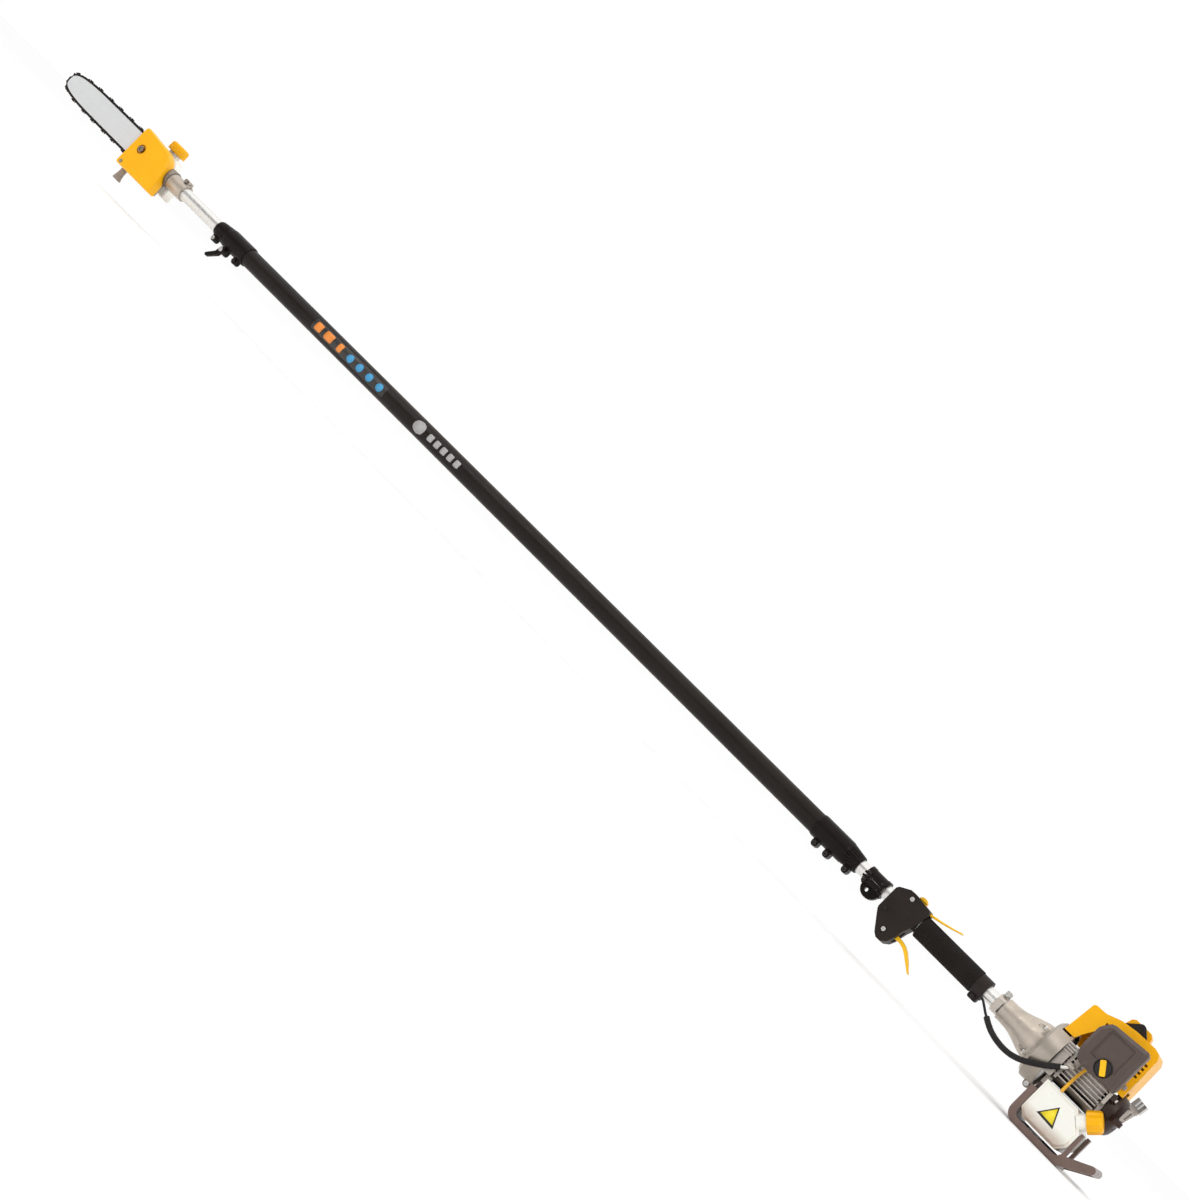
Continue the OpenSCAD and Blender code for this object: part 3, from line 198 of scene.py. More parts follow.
def cast(name, colour, rough=0.42, metal=0.85, depth=0.00012, wear=(0.75, 0.73, 0.7),
         stain=(0.28, 0.25, 0.22)):
    """Sand or die casting: pebbled skin, brighter edges, darker stains in patches, and painted shade near
    black in its hollows.
    """
    n = Net(name)
    tone = n.mix(n.ramp(n.noise(35.0, 4.0), 0.3, 0.7), shade(colour, 0.88), shade(colour, 1.1))
    tone = n.mix(n.ramp(n.noise(55.0, 6.0, 0.75), 0.56, 0.8, 0.0, 0.6), tone, stain)
    patch = n.ramp(n.noise(240.0, 4.0, 0.7), 0.35, 0.6)
    tone = n.mix(n.math("MULTIPLY", n.edges(0.0009), patch), tone, wear)
    # Painted shade: narrow gaps and inner corners go near black.
    tone = n.mix(n.hollows(0.016), tone, (0.020, 0.017, 0.015))
    pebble = n.bump(n.noise(650.0, 4.0, 0.6), depth)
    skin = n.bump(n.cells(420.0), depth * 0.6, 0.6, pebble)
    gloss = n.ramp(n.noise(90.0, 5.0, 0.65), 0.3, 0.7, rough * 0.8, rough * 1.25)
    return n.finish(tone, gloss, skin, metal)


def machined(name, colour, rough=0.25, metal=1.0, stretch=(8.0, 700.0, 700.0), depth=0.00002, soil=None,
             soil_amount=0.5, hollow_shade=None):
    """Turned, drawn or ground metal with fine lines along one direction, and painted shade in its hollows
    when a hollow colour is given.
    """
    n = Net(name)
    lines = n.noise(1.0, 6.0, 0.6, n.stretched(stretch))
    tone = n.mix(lines, shade(colour, 0.86), shade(colour, 1.08))
    tone = n.mix(n.ramp(n.noise(30.0, 3.0), 0.35, 0.7, 0.0, 0.5), tone, shade(colour, 0.93))
    if soil:
        tone = n.mix(n.ramp(n.noise(45.0, 7.0, 0.75), 0.5, 0.75, 0.0, soil_amount), tone, soil)
    # Painted shade: narrow gaps and inner corners take the darker hollow colour.
    if hollow_shade:
        tone = n.mix(n.hollows(0.007), tone, hollow_shade)
    gloss = n.ramp(n.noise(120.0, 6.0, 0.7), 0.25, 0.75, rough * 0.7, rough * 1.4)
    return n.finish(tone, gloss, n.bump(lines, depth), metal)


def fibre_tube(name):
    """Wound fibre under a satin lacquer, with crossing tows and small scuffs."""
    n = Net(name)
    split = n.node("ShaderNodeSeparateXYZ")
    n.link(n.coords, split.inputs[0])
    turn = n.math("ARCTAN2", n.math("SUBTRACT", split.outputs[2], AXIS_Z), split.outputs[1])
    heights = []
    for hand in (1.0, -1.0):
        lean = n.math("MULTIPLY", turn, 12.0 * hand)
        phase = n.math("ADD", n.math("MULTIPLY", split.outputs[0], 900.0), lean)
        heights.append(n.math("SINE", phase))
    weave = n.math("MULTIPLY", heights[0], heights[1])
    tow = n.ramp(weave, -1.0, 1.0)
    tone = n.mix(tow, (0.010, 0.0070, 0.0053), (0.018, 0.0125, 0.0092))
    tone = n.mix(n.ramp(n.noise(9.0, 4.0), 0.4, 0.75, 0.0, 0.7), tone, (0.020, 0.015, 0.012))
    scuff = n.ramp(n.noise(1.0, 8.0, 0.7, n.stretched((14.0, 260.0, 260.0))), 0.62, 0.8, 0.0, 0.5)
    tone = n.mix(scuff, tone, (0.07, 0.06, 0.055))
    gloss = n.ramp(n.noise(40.0, 6.0, 0.7), 0.3, 0.7, 0.34, 0.52)
    return n.finish(tone, gloss, n.bump(weave, 0.00005, 0.7), 0.0, Specular_IOR_Level=0.14)


def foam(name):
    n = Net(name)
    pores = n.cells(900.0)
    tone = n.mix(n.ramp(pores, 0.1, 0.6), (0.004, 0.0032, 0.0026), (0.014, 0.011, 0.009))
    tone = n.mix(n.ramp(n.noise(30.0, 4.0), 0.45, 0.75, 0.0, 0.5), tone, (0.019, 0.015, 0.0125))
    skin = n.bump(pores, 0.0003, 0.8, n.bump(n.noise(120.0, 3.0), 0.0004, 0.4))
    return n.finish(tone, n.ramp(pores, 0.0, 1.0, 0.95, 0.75), skin, Specular_IOR_Level=0.15)


def tank_skin(name, low, high, bottom_shade=(0.40, 0.28, 0.20), top=(0.93, 0.90, 0.82)):
    """Milky blow-moulded plastic, with painted shade as a warmer, darker band at the bottom."""
    n = Net(name)
    split = n.node("ShaderNodeSeparateXYZ")
    n.link(n.coords, split.inputs[0])
    wavy = n.math("ADD", split.outputs[2], n.math("MULTIPLY", n.noise(18.0, 3.0), 0.006))
    # Painted shade: below a wavy line near the bottom the colour goes over to the bottom colour.
    fill = n.ramp(wavy, high, low)
    tone = n.mix(fill, top, bottom_shade)
    tone = n.mix(n.ramp(n.noise(45.0, 4.0), 0.4, 0.75, 0.0, 0.25), tone, (0.93, 0.91, 0.86))
    gloss = n.ramp(n.noise(80.0, 4.0), 0.3, 0.7, 0.26, 0.40)
    return n.finish(tone, gloss, n.bump(n.noise(160.0, 4.0), 0.00008), Subsurface_Weight=0.12,
                    Subsurface_Scale=0.006, Coat_Weight=0.25, Coat_Roughness=0.2)


def rubber(name, colour, rough=0.5, depth=0.00006):
    return moulded(name, colour, rough, 1400.0, depth, 0.15, dust=(0.045, 0.038, 0.034),
                   Specular_IOR_Level=0.25)


YELLOW = (1.0, 0.47, 0.0)
BLACK = (0.011, 0.0082, 0.007)
# Each darker colour given below for a material's hollows is painted shade in its gaps and inner corners.
m_yellow = moulded("yellow_cover", YELLOW, 0.34, 700.0, 0.00003, 0.06, (1.0, 0.56, 0.10), 0.0012,
                   hollow_shade=(0.42, 0.15, 0.0), Specular_IOR_Level=0.3)
m_yellow_small = moulded("yellow_lever", (1.0, 0.54, 0.01), 0.34, 900.0, 0.00003, 0.06,
                         (1.0, 0.62, 0.2), 0.0006, Specular_IOR_Level=0.3)
m_tube = fibre_tube("fibre_tube")
m_bright = machined("bright_tube", (0.80, 0.785, 0.75), 0.36)
m_bush = moulded("bush_plastic", (0.05, 0.055, 0.06), 0.4)
m_clamp = moulded("black_clamp", BLACK, 0.32, 800.0, 0.00006, 0.2, (0.05, 0.042, 0.038), 0.0009,
                  Specular_IOR_Level=0.09)
EVEN = (600.0, 600.0, 600.0)
m_screw = machined("zinc_screw", (0.70, 0.68, 0.65), 0.26, 1.0, EVEN, soil=(0.2, 0.17, 0.14))
m_worn_screw = machined("worn_screw", (0.42, 0.35, 0.30), 0.28, 1.0, EVEN, soil=(0.10, 0.06, 0.045),
                        soil_amount=0.8, hollow_shade=(0.02, 0.012, 0.010))
m_black_screw = machined("black_screw", (0.05, 0.045, 0.042), 0.3, 0.9, EVEN)
m_control = moulded("dark_control", (0.024, 0.018, 0.0150), 0.46, 1500.0, 0.00009, 0.2,
                    (0.08, 0.07, 0.065), 0.001, dust=(0.034, 0.027, 0.024), Specular_IOR_Level=0.12)
m_foam = foam("grip_foam")
m_cable = rubber("cable_sheath", (0.015, 0.013, 0.0125), 0.6, 0.0001)
m_cast = cast("cast_silver", (0.52, 0.455, 0.385), 0.42, 0.7)
m_cast_fan = cast("cast_fan_case", (0.44, 0.385, 0.325), 0.34, 0.7)
m_case = cast("cast_crankcase", (0.60, 0.535, 0.475), 0.3, 0.75)
m_steel = machined("machined_steel", (0.45, 0.43, 0.41), 0.3, soil=(0.16, 0.13, 0.1))
m_ceramic = moulded("plug_ceramic", (0.8, 0.79, 0.76), 0.15)
m_felt = moulded("filter_felt", (0.15, 0.19, 0.14), 0.95, 300.0, 0.0006, 0.25)
m_brown = moulded("brown_plastic", (0.090, 0.064, 0.055), 0.42, 1300.0, 0.00008, 0.08,
                  (0.20, 0.16, 0.15), 0.0012, dust=(0.13, 0.10, 0.09), hollow_shade=(0.03, 0.02, 0.018),
                  Specular_IOR_Level=0.3)
m_dark_brown = moulded("dark_brown_plastic", (0.042, 0.022, 0.016), 0.40, 1300.0, 0.00008, 0.1,
                       (0.12, 0.095, 0.085), 0.001, hollow_shade=(0.012, 0.009, 0.008), Specular_IOR_Level=0.3)
m_muffler = moulded("muffler_steel", (0.07, 0.06, 0.055), 0.6, 500.0, 0.0002, 0.3, (0.25, 0.15, 0.10), 0.002)
m_pulley = moulded("pulley_plastic", (0.75, 0.71, 0.65), 0.45)
m_handle = machined("bright_handle", (0.40, 0.355, 0.32), 0.16, 1.0, (300.0, 300.0, 20.0),
                    soil=(0.05, 0.03, 0.022), soil_amount=0.8, hollow_shade=(0.02, 0.012, 0.010))
m_hose = moulded("fuel_line", (1.0, 0.50, 0.03), 0.3, 600.0, 0.00003, 0.12, Coat_Weight=0.3)
m_stand = moulded("stand_plastic", (0.180, 0.119, 0.100), 0.33, 900.0, 0.00008, 0.12,
                  (0.30, 0.25, 0.23), 0.0015, dust=(0.19, 0.155, 0.14), hollow_shade=(0.05, 0.038, 0.034),
                  Specular_IOR_Level=0.35)
# Painted shadow: a darker cast for the gear case behind the sprocket cover, where shade falls.
m_shadowed_cast = cast("cast_shadowed", (0.30, 0.265, 0.235), 0.45, 0.6, wear=(0.5, 0.46, 0.42))
m_hook = cast("cast_hook", (0.36, 0.30, 0.25), 0.5, 0.3, 0.0002, (0.42, 0.4, 0.38))
m_bar = machined("bar_steel", (0.74, 0.745, 0.75), 0.34, 0.25, (9.0, 900.0, 900.0), soil=(0.60, 0.60, 0.59),
                 soil_amount=0.3)
m_chain = machined("chain_steel", (0.040, 0.033, 0.029), 0.34, 0.9, (300.0, 300.0, 300.0),
                   soil=(0.02, 0.015, 0.01))
m_black_disc = moulded("black_recess", (0.012, 0.011, 0.011), 0.45)
m_orange_mark = moulded("orange_mark", (0.90, 0.28, 0.04), 0.4, spread=0.1)
m_blue_mark = moulded("blue_mark", (0.05, 0.33, 0.62), 0.4, spread=0.1)
m_grey_mark = moulded("grey_mark", (0.42, 0.41, 0.40), 0.4, spread=0.12)
m_mark_edge = moulded("mark_edge", (0.03, 0.026, 0.022), 0.4)
m_mark_face = moulded("mark_face", (0.93, 0.74, 0.02), 0.35, spread=0.05)
tank_lo, tank_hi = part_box("fuel_tank")
# Both tanks carry the painted shade band at the bottom.
m_fuel_tank = tank_skin("fuel_tank_plastic", tank_lo.z + 0.004, tank_lo.z + 0.030)
oil_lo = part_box("oil_tank")[0]
m_oil_tank = tank_skin("oil_tank_plastic", oil_lo.z - 0.01, oil_lo.z + 0.02, (0.60, 0.52, 0.42))

NODE_MATERIAL = {
    "outer_tube": m_tube, "lower_tube": m_bright, "inner_tube": m_bright, "sliding_bushes": m_bush,
    "lower_clamp_left": m_clamp, "lower_clamp_right": m_clamp, "upper_clamp": m_clamp, "clamp_lever": m_clamp,
    "harness_clamp_upper": m_clamp, "harness_clamp_lower": m_clamp, "grip_collar": m_control,
    "pole_screws": m_screw, "engine_screws": m_screw, "head_fasteners": m_worn_screw,
    "control_housing_left": m_control, "control_housing_right": m_control,
    "throttle_trigger": m_yellow_small, "throttle_lockout": m_yellow_small, "stop_switch": m_yellow_small,
    "foam_grip": m_foam, "throttle_cable": m_cable, "spark_plug_boot": m_cable,
    "tube_clamp": m_case, "clutch_housing": m_cast, "fan_housing": m_cast_fan, "crankcase": m_case,
    "cylinder": m_cast, "carburettor": m_cast, "gear_head": m_cast, "limb_hook": m_hook,
    "spark_plug": m_ceramic, "shroud": m_yellow, "choke_knob": m_yellow_small, "fuel_cap": m_yellow,
    "sprocket_cover": m_yellow, "oil_cap": m_yellow, "filter_element": m_felt, "filter_cover": m_brown,
    "starter_housing": m_dark_brown, "muffler": m_muffler, "starter_pulley": m_pulley,
    "starter_handle": m_handle, "fuel_tank": m_fuel_tank, "oil_tank": m_oil_tank, "fuel_hose": m_hose,
    "stand": m_stand, "guide_bar": m_bar, "saw_chain": m_chain,
}
for node, obj in NODES.items():
    obj.data.materials.clear()
    obj.data.materials.append(NODE_MATERIAL.get(node, m_steel))


# ---- Pieces ----

def piece(name, mesh, mats, body, stands_for=(), smooth=True):
    """Links a mesh as a piece that rides on a body."""
    obj = bpy.data.objects.new(name, mesh)
    bpy.context.scene.collection.objects.link(obj)
    for m in mats if isinstance(mats, (list, tuple)) else [mats]:
        mesh.materials.append(m)
    mesh.polygons.foreach_set("use_smooth", [smooth] * len(mesh.polygons))
    mesh.update()
    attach(obj, body)
    if stands_for:
        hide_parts(*stands_for)
    return obj


def modifier(obj, kind, **values):
    m = obj.modifiers.new(kind.lower(), kind)
    for key, value in values.items():
        setattr(m, key, value)
    return m


def rounded(obj, width, segments=2, angle=28.0):
    """Rounds every sharp edge and keeps flat faces flat in the shading."""
    modifier(obj, "BEVEL", width=width, segments=segments, limit_method="ANGLE",
             angle_limit=math.radians(angle), use_clamp_overlap=True, harden_normals=False,
             miter_outer="MITER_ARC")
    modifier(obj, "WEIGHTED_NORMAL", weight=60, keep_sharp=False)
    return obj


def soften(node, width, segments=2, mats=None, pick=None, angle=28.0):
    """A copy of a CAD node with rounded edges, which stands for the node."""
    bm = bmesh.new()
    bm.from_mesh(NODES[node].data)
    bmesh.ops.remove_doubles(bm, verts=bm.verts, dist=2e-6)
    bmesh.ops.dissolve_limit(bm, angle_limit=math.radians(0.6), verts=bm.verts, edges=bm.edges,
                             use_dissolve_boundaries=False, delimit={"NORMAL"})
    if pick:
        for f in bm.faces:
            f.material_index = pick(f.calc_center_median())
    mesh = bpy.data.meshes.new(node + "_soft")
    bm.to_mesh(mesh)
    bm.free()
    obj = piece(node + "_soft", mesh, mats or NODE_MATERIAL.get(node, m_steel), BODY_OF[node], [node])
    return rounded(obj, width, segments, angle)


def add_prism(bm, outline, y0, y1, place, mat=0):
    """A closed prism: outline in (u, v), thickness along Y, placed by a function (u, y, v) -> point."""
    low = [bm.verts.new(place(u, y0, v)) for u, v in outline]
    high = [bm.verts.new(place(u, y1, v)) for u, v in outline]
    n = len(outline)
    faces = [bm.faces.new(low[::-1]), bm.faces.new(high)]
    for i in range(n):
        faces.append(bm.faces.new((low[i], low[(i + 1) % n], high[(i + 1) % n], high[i])))
    for f in faces:
        f.material_index = mat
    return faces


def mesh_from(bm, name):
    bmesh.ops.recalc_face_normals(bm, faces=bm.faces)
    mesh = bpy.data.meshes.new(name)
    bm.to_mesh(mesh)
    bm.free()
    return mesh


def smooth_route(points, steps):
    """A Catmull-Rom curve through the points."""
    pts = [points[0] * 2 - points[1], *points, points[-1] * 2 - points[-2]]
    out = []
    for i in range(1, len(pts) - 2):
        p0, p1, p2, p3 = pts[i - 1:i + 3]
        for k in range(steps):
            t = k / steps
            out.append(0.5 * ((2 * p1) + (p2 - p0) * t + (2 * p0 - 5 * p1 + 4 * p2 - p3) * t * t
                              + (3 * p1 - p0 - 3 * p2 + p3) * t ** 3))
    return out + [points[-1]]


def add_sweep(bm, route, radius, sides=16, mat=0):
    """A closed tube along a route; radius is a function of the length so far."""
    rings, run = [], 0.0
    side = None
    for i, p in enumerate(route):
        d = (route[min(i + 1, len(route) - 1)] - route[max(i - 1, 0)]).normalized()
        if side is None:
            side = d.cross(Vector((0, 1, 0))).normalized()
        side = (side - d * side.dot(d)).normalized()
        other = d.cross(side)
        if i:
            run += (p - route[i - 1]).length
        r = radius(run)
        rings.append([bm.verts.new(p + (side * math.cos(a) + other * math.sin(a)) * r)
                      for a in (2 * math.pi * k / sides for k in range(sides))])
    for a, b in zip(rings, rings[1:]):
        for k in range(sides):
            bm.faces.new((a[k], a[(k + 1) % sides], b[(k + 1) % sides], b[k])).material_index = mat
    bm.faces.new(rings[0][::-1]).material_index = mat
    bm.faces.new(rings[-1]).material_index = mat


def add_lathe(bm, profile, place, sides=64, lobes=0, depth=0.0, mat=0):
    """A turned solid: profile is (radius, height, how much of the lobes it takes) in millimetres."""
    rings = []
    for r, h, share in profile:
        ring = []
        for k in range(sides):
            a = 2 * math.pi * k / sides
            dip = depth * share * abs(math.sin(lobes * a / 2)) ** 0.8 if lobes else 0.0
            rr = r - dip
            ring.append(bm.verts.new(place(rr * math.cos(a), rr * math.sin(a), h)))
        rings.append(ring)
    for a, b in zip(rings, rings[1:]):
        for k in range(sides):
            bm.faces.new((a[k], a[(k + 1) % sides], b[(k + 1) % sides], b[k])).material_index = mat
    bm.faces.new(rings[0][::-1]).material_index = mat
    bm.faces.new(rings[-1]).material_index = mat


# A rounding wider than this takes three steps.
WIDE_ROUND = 0.0015

# Pole: clamps, collar, controls and tubes.
for node, width in (
    ("lower_clamp_left", 0.0007), ("lower_clamp_right", 0.0007), ("upper_clamp", 0.0007),
    ("clamp_lever", 0.0012),
    ("harness_clamp_upper", 0.0007), ("harness_clamp_lower", 0.0009), ("grip_collar", 0.0010),
    ("control_housing_left", 0.0014), ("control_housing_right", 0.0014), ("throttle_trigger", 0.0012),
    ("throttle_lockout", 0.0010), ("stop_switch", 0.0010), ("foam_grip", 0.0010),
    ("outer_tube", 0.0003), ("lower_tube", 0.0003), ("inner_tube", 0.0003),
):
    soften(node, width)

# Screws of the pole: zinc in the control housing and the upper clamp, black elsewhere.
ZINC_AT = [at(*p) for p in ((399.5, 0, 22), (399.5, 0, -47), (2374, 0, -29), (2416, 0, -23))]
SCREW_REACH = 9 * MM


def is_black(centre):
    return int(all(math.hypot(centre.x - p.x, centre.z - p.z) > SCREW_REACH for p in ZINC_AT))


soften("pole_screws", 0.0003, 2, [m_screw, m_black_screw], is_black)

# Engine.
for node, width in (
    ("tube_clamp", 0.0008), ("clutch_housing", 0.0010), ("fan_housing", 0.0012), ("crankcase", 0.0006),
    ("cylinder", 0.0006), ("shroud", 0.0022), ("carburettor", 0.0006), ("filter_cover", 0.0016),
    ("muffler", 0.0020), ("starter_housing", 0.0010), ("starter_handle", 0.0009), ("fuel_tank", 0.0030),
    ("stand", 0.0026), ("engine_screws", 0.0003), ("spark_plug_boot", 0.0006),
):
    soften(node, width, 3 if width > WIDE_ROUND else 2)

# Saw head: painted shadow, the gear case takes a darker cast material from a little behind the cover onwards,
# where the cover's shade falls on it.
CASE_BEHIND_COVER = 0.009
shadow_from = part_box("sprocket_cover")[0].x - CASE_BEHIND_COVER
soften("gear_head", 0.0010, 2, [m_cast, m_shadowed_cast], lambda c: int(c.x > shadow_from))
for node, width in (
    ("sprocket_cover", 0.0018), ("oil_tank", 0.0018), ("limb_hook", 0.0010),
    ("head_fasteners", 0.0004), ("guide_bar", 0.0003),
):
    soften(node, width, 3 if width > WIDE_ROUND else 2)

# Choke knob: a yellow bar on a black disc.
knob_lo, knob_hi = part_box("choke_knob")
KNOB_BAR_HEIGHT = 0.0061
KNOB_BAR_FROM = knob_hi.y - KNOB_BAR_HEIGHT
soften("choke_knob", 0.0008, 2, [m_yellow_small, m_black_disc], lambda c: int(c.y < KNOB_BAR_FROM))


# Radii of the cable, its sleeve and the hose, and the sleeve's ribs, in millimetres.
CABLE_R, SLEEVE_R, HOSE_R = 2.2, 5.0, 3.0
RIB_PITCH, RIB_DEPTH = 2.4, 0.16


def cable_piece():
    """Cable with its ribbed sleeve and bright end, along the same route as the solid one."""
    thin = [at(*p) for p in (
        (208.3, 10.5, -12.7), (203, 11, -14), (195, 13, -19), (186, 16, -25), (178, 19, -29.5))]
    sleeve = [at(*p) for p in (
        (178, 19, -29.5), (168, 23, -35), (155, 28, -40.5), (140, 34, -44), (124, 41, -45.5),
        (108, 47, -44.5), (93, 53, -40.5), (79, 58, -34), (66, 62.5, -26), (54, 65.5, -17.5),
        (44, 67.5, -9.5), (35, 68, -2))]
    end = [at(*p) for p in ((35, 68, -2), (30, 68, 2.2), (25, 68, 6.4))]
    bm = bmesh.new()
    add_sweep(bm, smooth_route(thin, 6), lambda s: CABLE_R * MM)
    rib, ring = RIB_PITCH * MM, RIB_DEPTH * MM
    add_sweep(bm, smooth_route(sleeve, 26),
              lambda s: SLEEVE_R * MM + ring * math.cos(2 * math.pi * s / rib), 20)
    add_sweep(bm, smooth_route(end, 6), lambda s: (2.7 - 25 * s) * MM, 16, 1)
    piece("throttle_cable_soft", mesh_from(bm, "throttle_cable_soft"), [m_cable, m_bright],
          BODY_OF["throttle_cable"], ["throttle_cable"])


def hose_piece():
    """Tapered fuel hose between the tank and the carburettor."""
    route = [at(*p) for p in ((9, 57, -29), (9, 57, -18), (9, 55.5, -4), (8.5, 53, 8), (7.5, 50, 18),
                              (6.2, 48.4, 25), (5.5, 48, 28.8), (5.5, 48, 31.8))]
    bm = bmesh.new()
    add_sweep(bm, smooth_route(route, 10), lambda s: (HOSE_R - 8 * s) * MM, 20)
    piece("fuel_hose_soft", mesh_from(bm, "fuel_hose_soft"), m_hose, BODY_OF["fuel_hose"], ["fuel_hose"])


def cap_piece(node, base, tilt, radius, height, lobes, depth, neck_r):
    """A screw cap with finger lobes and a shallow dish on top, closed with a flat disc below."""
    turn = Matrix.Rotation(tilt, 4, "Y")

    def place(u, v, h):
        return base + turn @ Vector((u * MM, v * MM, h * MM))

    bm = bmesh.new()
    profile = [(neck_r, 0.0, 0), (radius - 0.9, 0.0, 1), (radius - 0.2, 0.8, 1), (radius, 2.0, 1),
               (radius - 0.4, height * 0.75, 1), (radius - 0.9, height - 3.2, 1),
               (radius - 2.2, height - 1.4, 0.5), (radius - 4.4, height - 0.3, 0.15),
               (radius - 6.5, height, 0), (radius - 9.0, height - 0.1, 0),
               (radius - 9.6, height - 0.8, 0), (0.5, height - 0.8, 0)]
    add_lathe(bm, profile, place, lobes * 12, lobes, depth)
    piece(node + "_soft", mesh_from(bm, node + "_soft"), m_yellow, BODY_OF[node], [node])


# Saw chain, in millimetres: pitch, and how far the rivets stand outside the bar's rail.
PITCH, RAIL_TO_RIVET = 9.525, 2.6
# Radius of a link's ends, half its height at the waist, half the thickness of a drive link, and the
# inner and outer face of a side link.
LINK_R, LINK_WAIST, DRIVE_HALF = 2.8, 2.4, 0.6
SIDE_LINK = (0.75, 1.95)
RIVET_R, RIVET_HALF = 1.25, 2.3
# Radius of the chain's turn round the drive sprocket.
SPROCKET_TURN = 17.4
# The pattern repeats after eight links, with a cutter on one side at 1 and on the other at 5.
PATTERN = 8


def chain_loop():
    """The rail that the chain runs on, as a dense closed polyline in millimetres (x, z)."""
    bar_lo, bar_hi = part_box("guide_bar")
    tip, tail = bar_hi.x / MM, bar_lo.x / MM
    mid_z = ((bar_lo.z + bar_hi.z) / 2 - AXIS_Z) / MM
    half = (bar_hi.z - bar_lo.z) / 2 / MM
    sprocket_lo, sprocket_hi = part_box("drive_sprocket")
    sx = (sprocket_lo.x + sprocket_hi.x) / 2 / MM
    taper = tail + 92
    count = 90
    upper = []
    for i in range(count):
        u = math.sin(math.radians(90.0 * i / count))
        upper.append((taper + (tip - taper) * u, half * (1 - u ** 5) ** 0.3))
    turn = [(sx + SPROCKET_TURN * math.cos(math.radians(a)), SPROCKET_TURN * math.sin(math.radians(a)))
            for a in range(250, 105, -5)]
    lower = [(x, mid_z - z) for x, z in reversed(upper)]
    top = [(x, mid_z + z) for x, z in upper]
    return turn + [(tail + 30, mid_z + half)] + top + [(tip, mid_z)] + lower + [(tail + 30, mid_z - half)]


def along(loop, count):
    """Points at equal steps round a closed polyline."""
    total = sum(math.dist(a, b) for a, b in zip(loop, loop[1:] + loop[:1]))
    step, out, i, left = total / count, [], 0, 0.0
    ring = loop + loop[:1]
    for a, b in zip(ring, ring[1:]):
        span = math.dist(a, b)
        while left < span and len(out) < count:
            t = left / span if span else 0
            out.append((a[0] + (b[0] - a[0]) * t, a[1] + (b[1] - a[1]) * t))
            left += step
        left -= span
    return out


def chain_piece():
    """Saw chain: drive links, tie straps, rivets and alternate left and right cutters."""
    bar_lo, bar_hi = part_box("guide_bar")
    mid_y = (bar_lo.y + bar_hi.y) / 2 / MM
    loop = chain_loop()
    total = sum(math.dist(a, b) for a, b in zip(loop, loop[1:] + loop[:1]))
    links = round(total / PITCH / PATTERN) * PATTERN
    pivots = along(loop, links)
    tip = max(range(links), key=lambda i: pivots[i][0])
    shift = (3 - tip) % 4
    pivots = pivots[-shift:] + pivots[:-shift]

    def outward(i):
        a, b = pivots[i - 1], pivots[(i + 1) % links]
        dx, dz = b[0] - a[0], b[1] - a[1]
        k = math.hypot(dx, dz)
        return (-dz / k, dx / k)

    pins = []
    for i, (x, z) in enumerate(pivots):
        ox, oz = outward(i)
        pins.append((x + ox * RAIL_TO_RIVET, z + oz * RAIL_TO_RIVET))

    def plate(length, r, waist):
        arc = [math.radians(a) for a in range(-90, 91, 30)]
        right = [(length + r * math.cos(a), r * math.sin(a)) for a in arc]
        left = [(-r * math.cos(a), -r * math.sin(a)) for a in arc]
        return right + [(length / 2, waist)] + left + [(length / 2, -waist)]

    bm = bmesh.new()
    for i in range(links):
        a, b = pins[i], pins[(i + 1) % links]
        length = math.dist(a, b)
        ux, uz = (b[0] - a[0]) / length, (b[1] - a[1]) / length
        vx, vz = -uz, ux

        def place(u, y, v, a=a, ux=ux, uz=uz, vx=vx, vz=vz):
            return at(a[0] + ux * u + vx * v, mid_y + y, a[1] + uz * u + vz * v)

        if i % 2 == 0:
            add_prism(bm, plate(length, LINK_R, LINK_WAIST), -DRIVE_HALF, DRIVE_HALF, place)
            tang = [(1.0, -1.8), (2.6, -6.4), (4.2, -7.2), (6.2, -4.6), (length - 1.0, -1.8)]
            add_prism(bm, tang, -DRIVE_HALF, DRIVE_HALF, place)
        else:
            cutter = i % 4 == 1
            hand = 1 if i % 8 == 1 else -1
            for side in (-1, 1):
                y0, y1 = sorted(side * y for y in SIDE_LINK)
                if cutter and side == hand:
                    body = [(-LINK_R, -LINK_R), (length + LINK_R, -LINK_R), (length + 3.4, 1.0),
                            (length + 2.8, 4.4), (length + 0.2, 4.6), (length - 1.8, 1.9),
                            (length - 3.0, 1.6), (length - 3.8, 5.0), (-1.6, 4.2), (-3.0, 1.0)]
                    add_prism(bm, body, y0, y1, place)
                    top = [(length - 3.8, 4.1), (length - 3.6, 5.3), (-2.6, 4.5), (-2.4, 3.2)]
                    t0, t1 = sorted((side * -0.6, side * 3.25))
                    add_prism(bm, top, t0, t1, place)
                else:
                    add_prism(bm, plate(length, LINK_R, LINK_WAIST), y0, y1, place)
        ring = [(RIVET_R * math.cos(math.radians(k)), RIVET_R * math.sin(math.radians(k)))
                for k in range(0, 360, 45)]
        add_prism(bm, ring, -RIVET_HALF, RIVET_HALF, place)
    piece("saw_chain_soft", mesh_from(bm, "saw_chain_soft"), m_chain, BODY_OF["saw_chain"], ["saw_chain"],
          smooth=False)


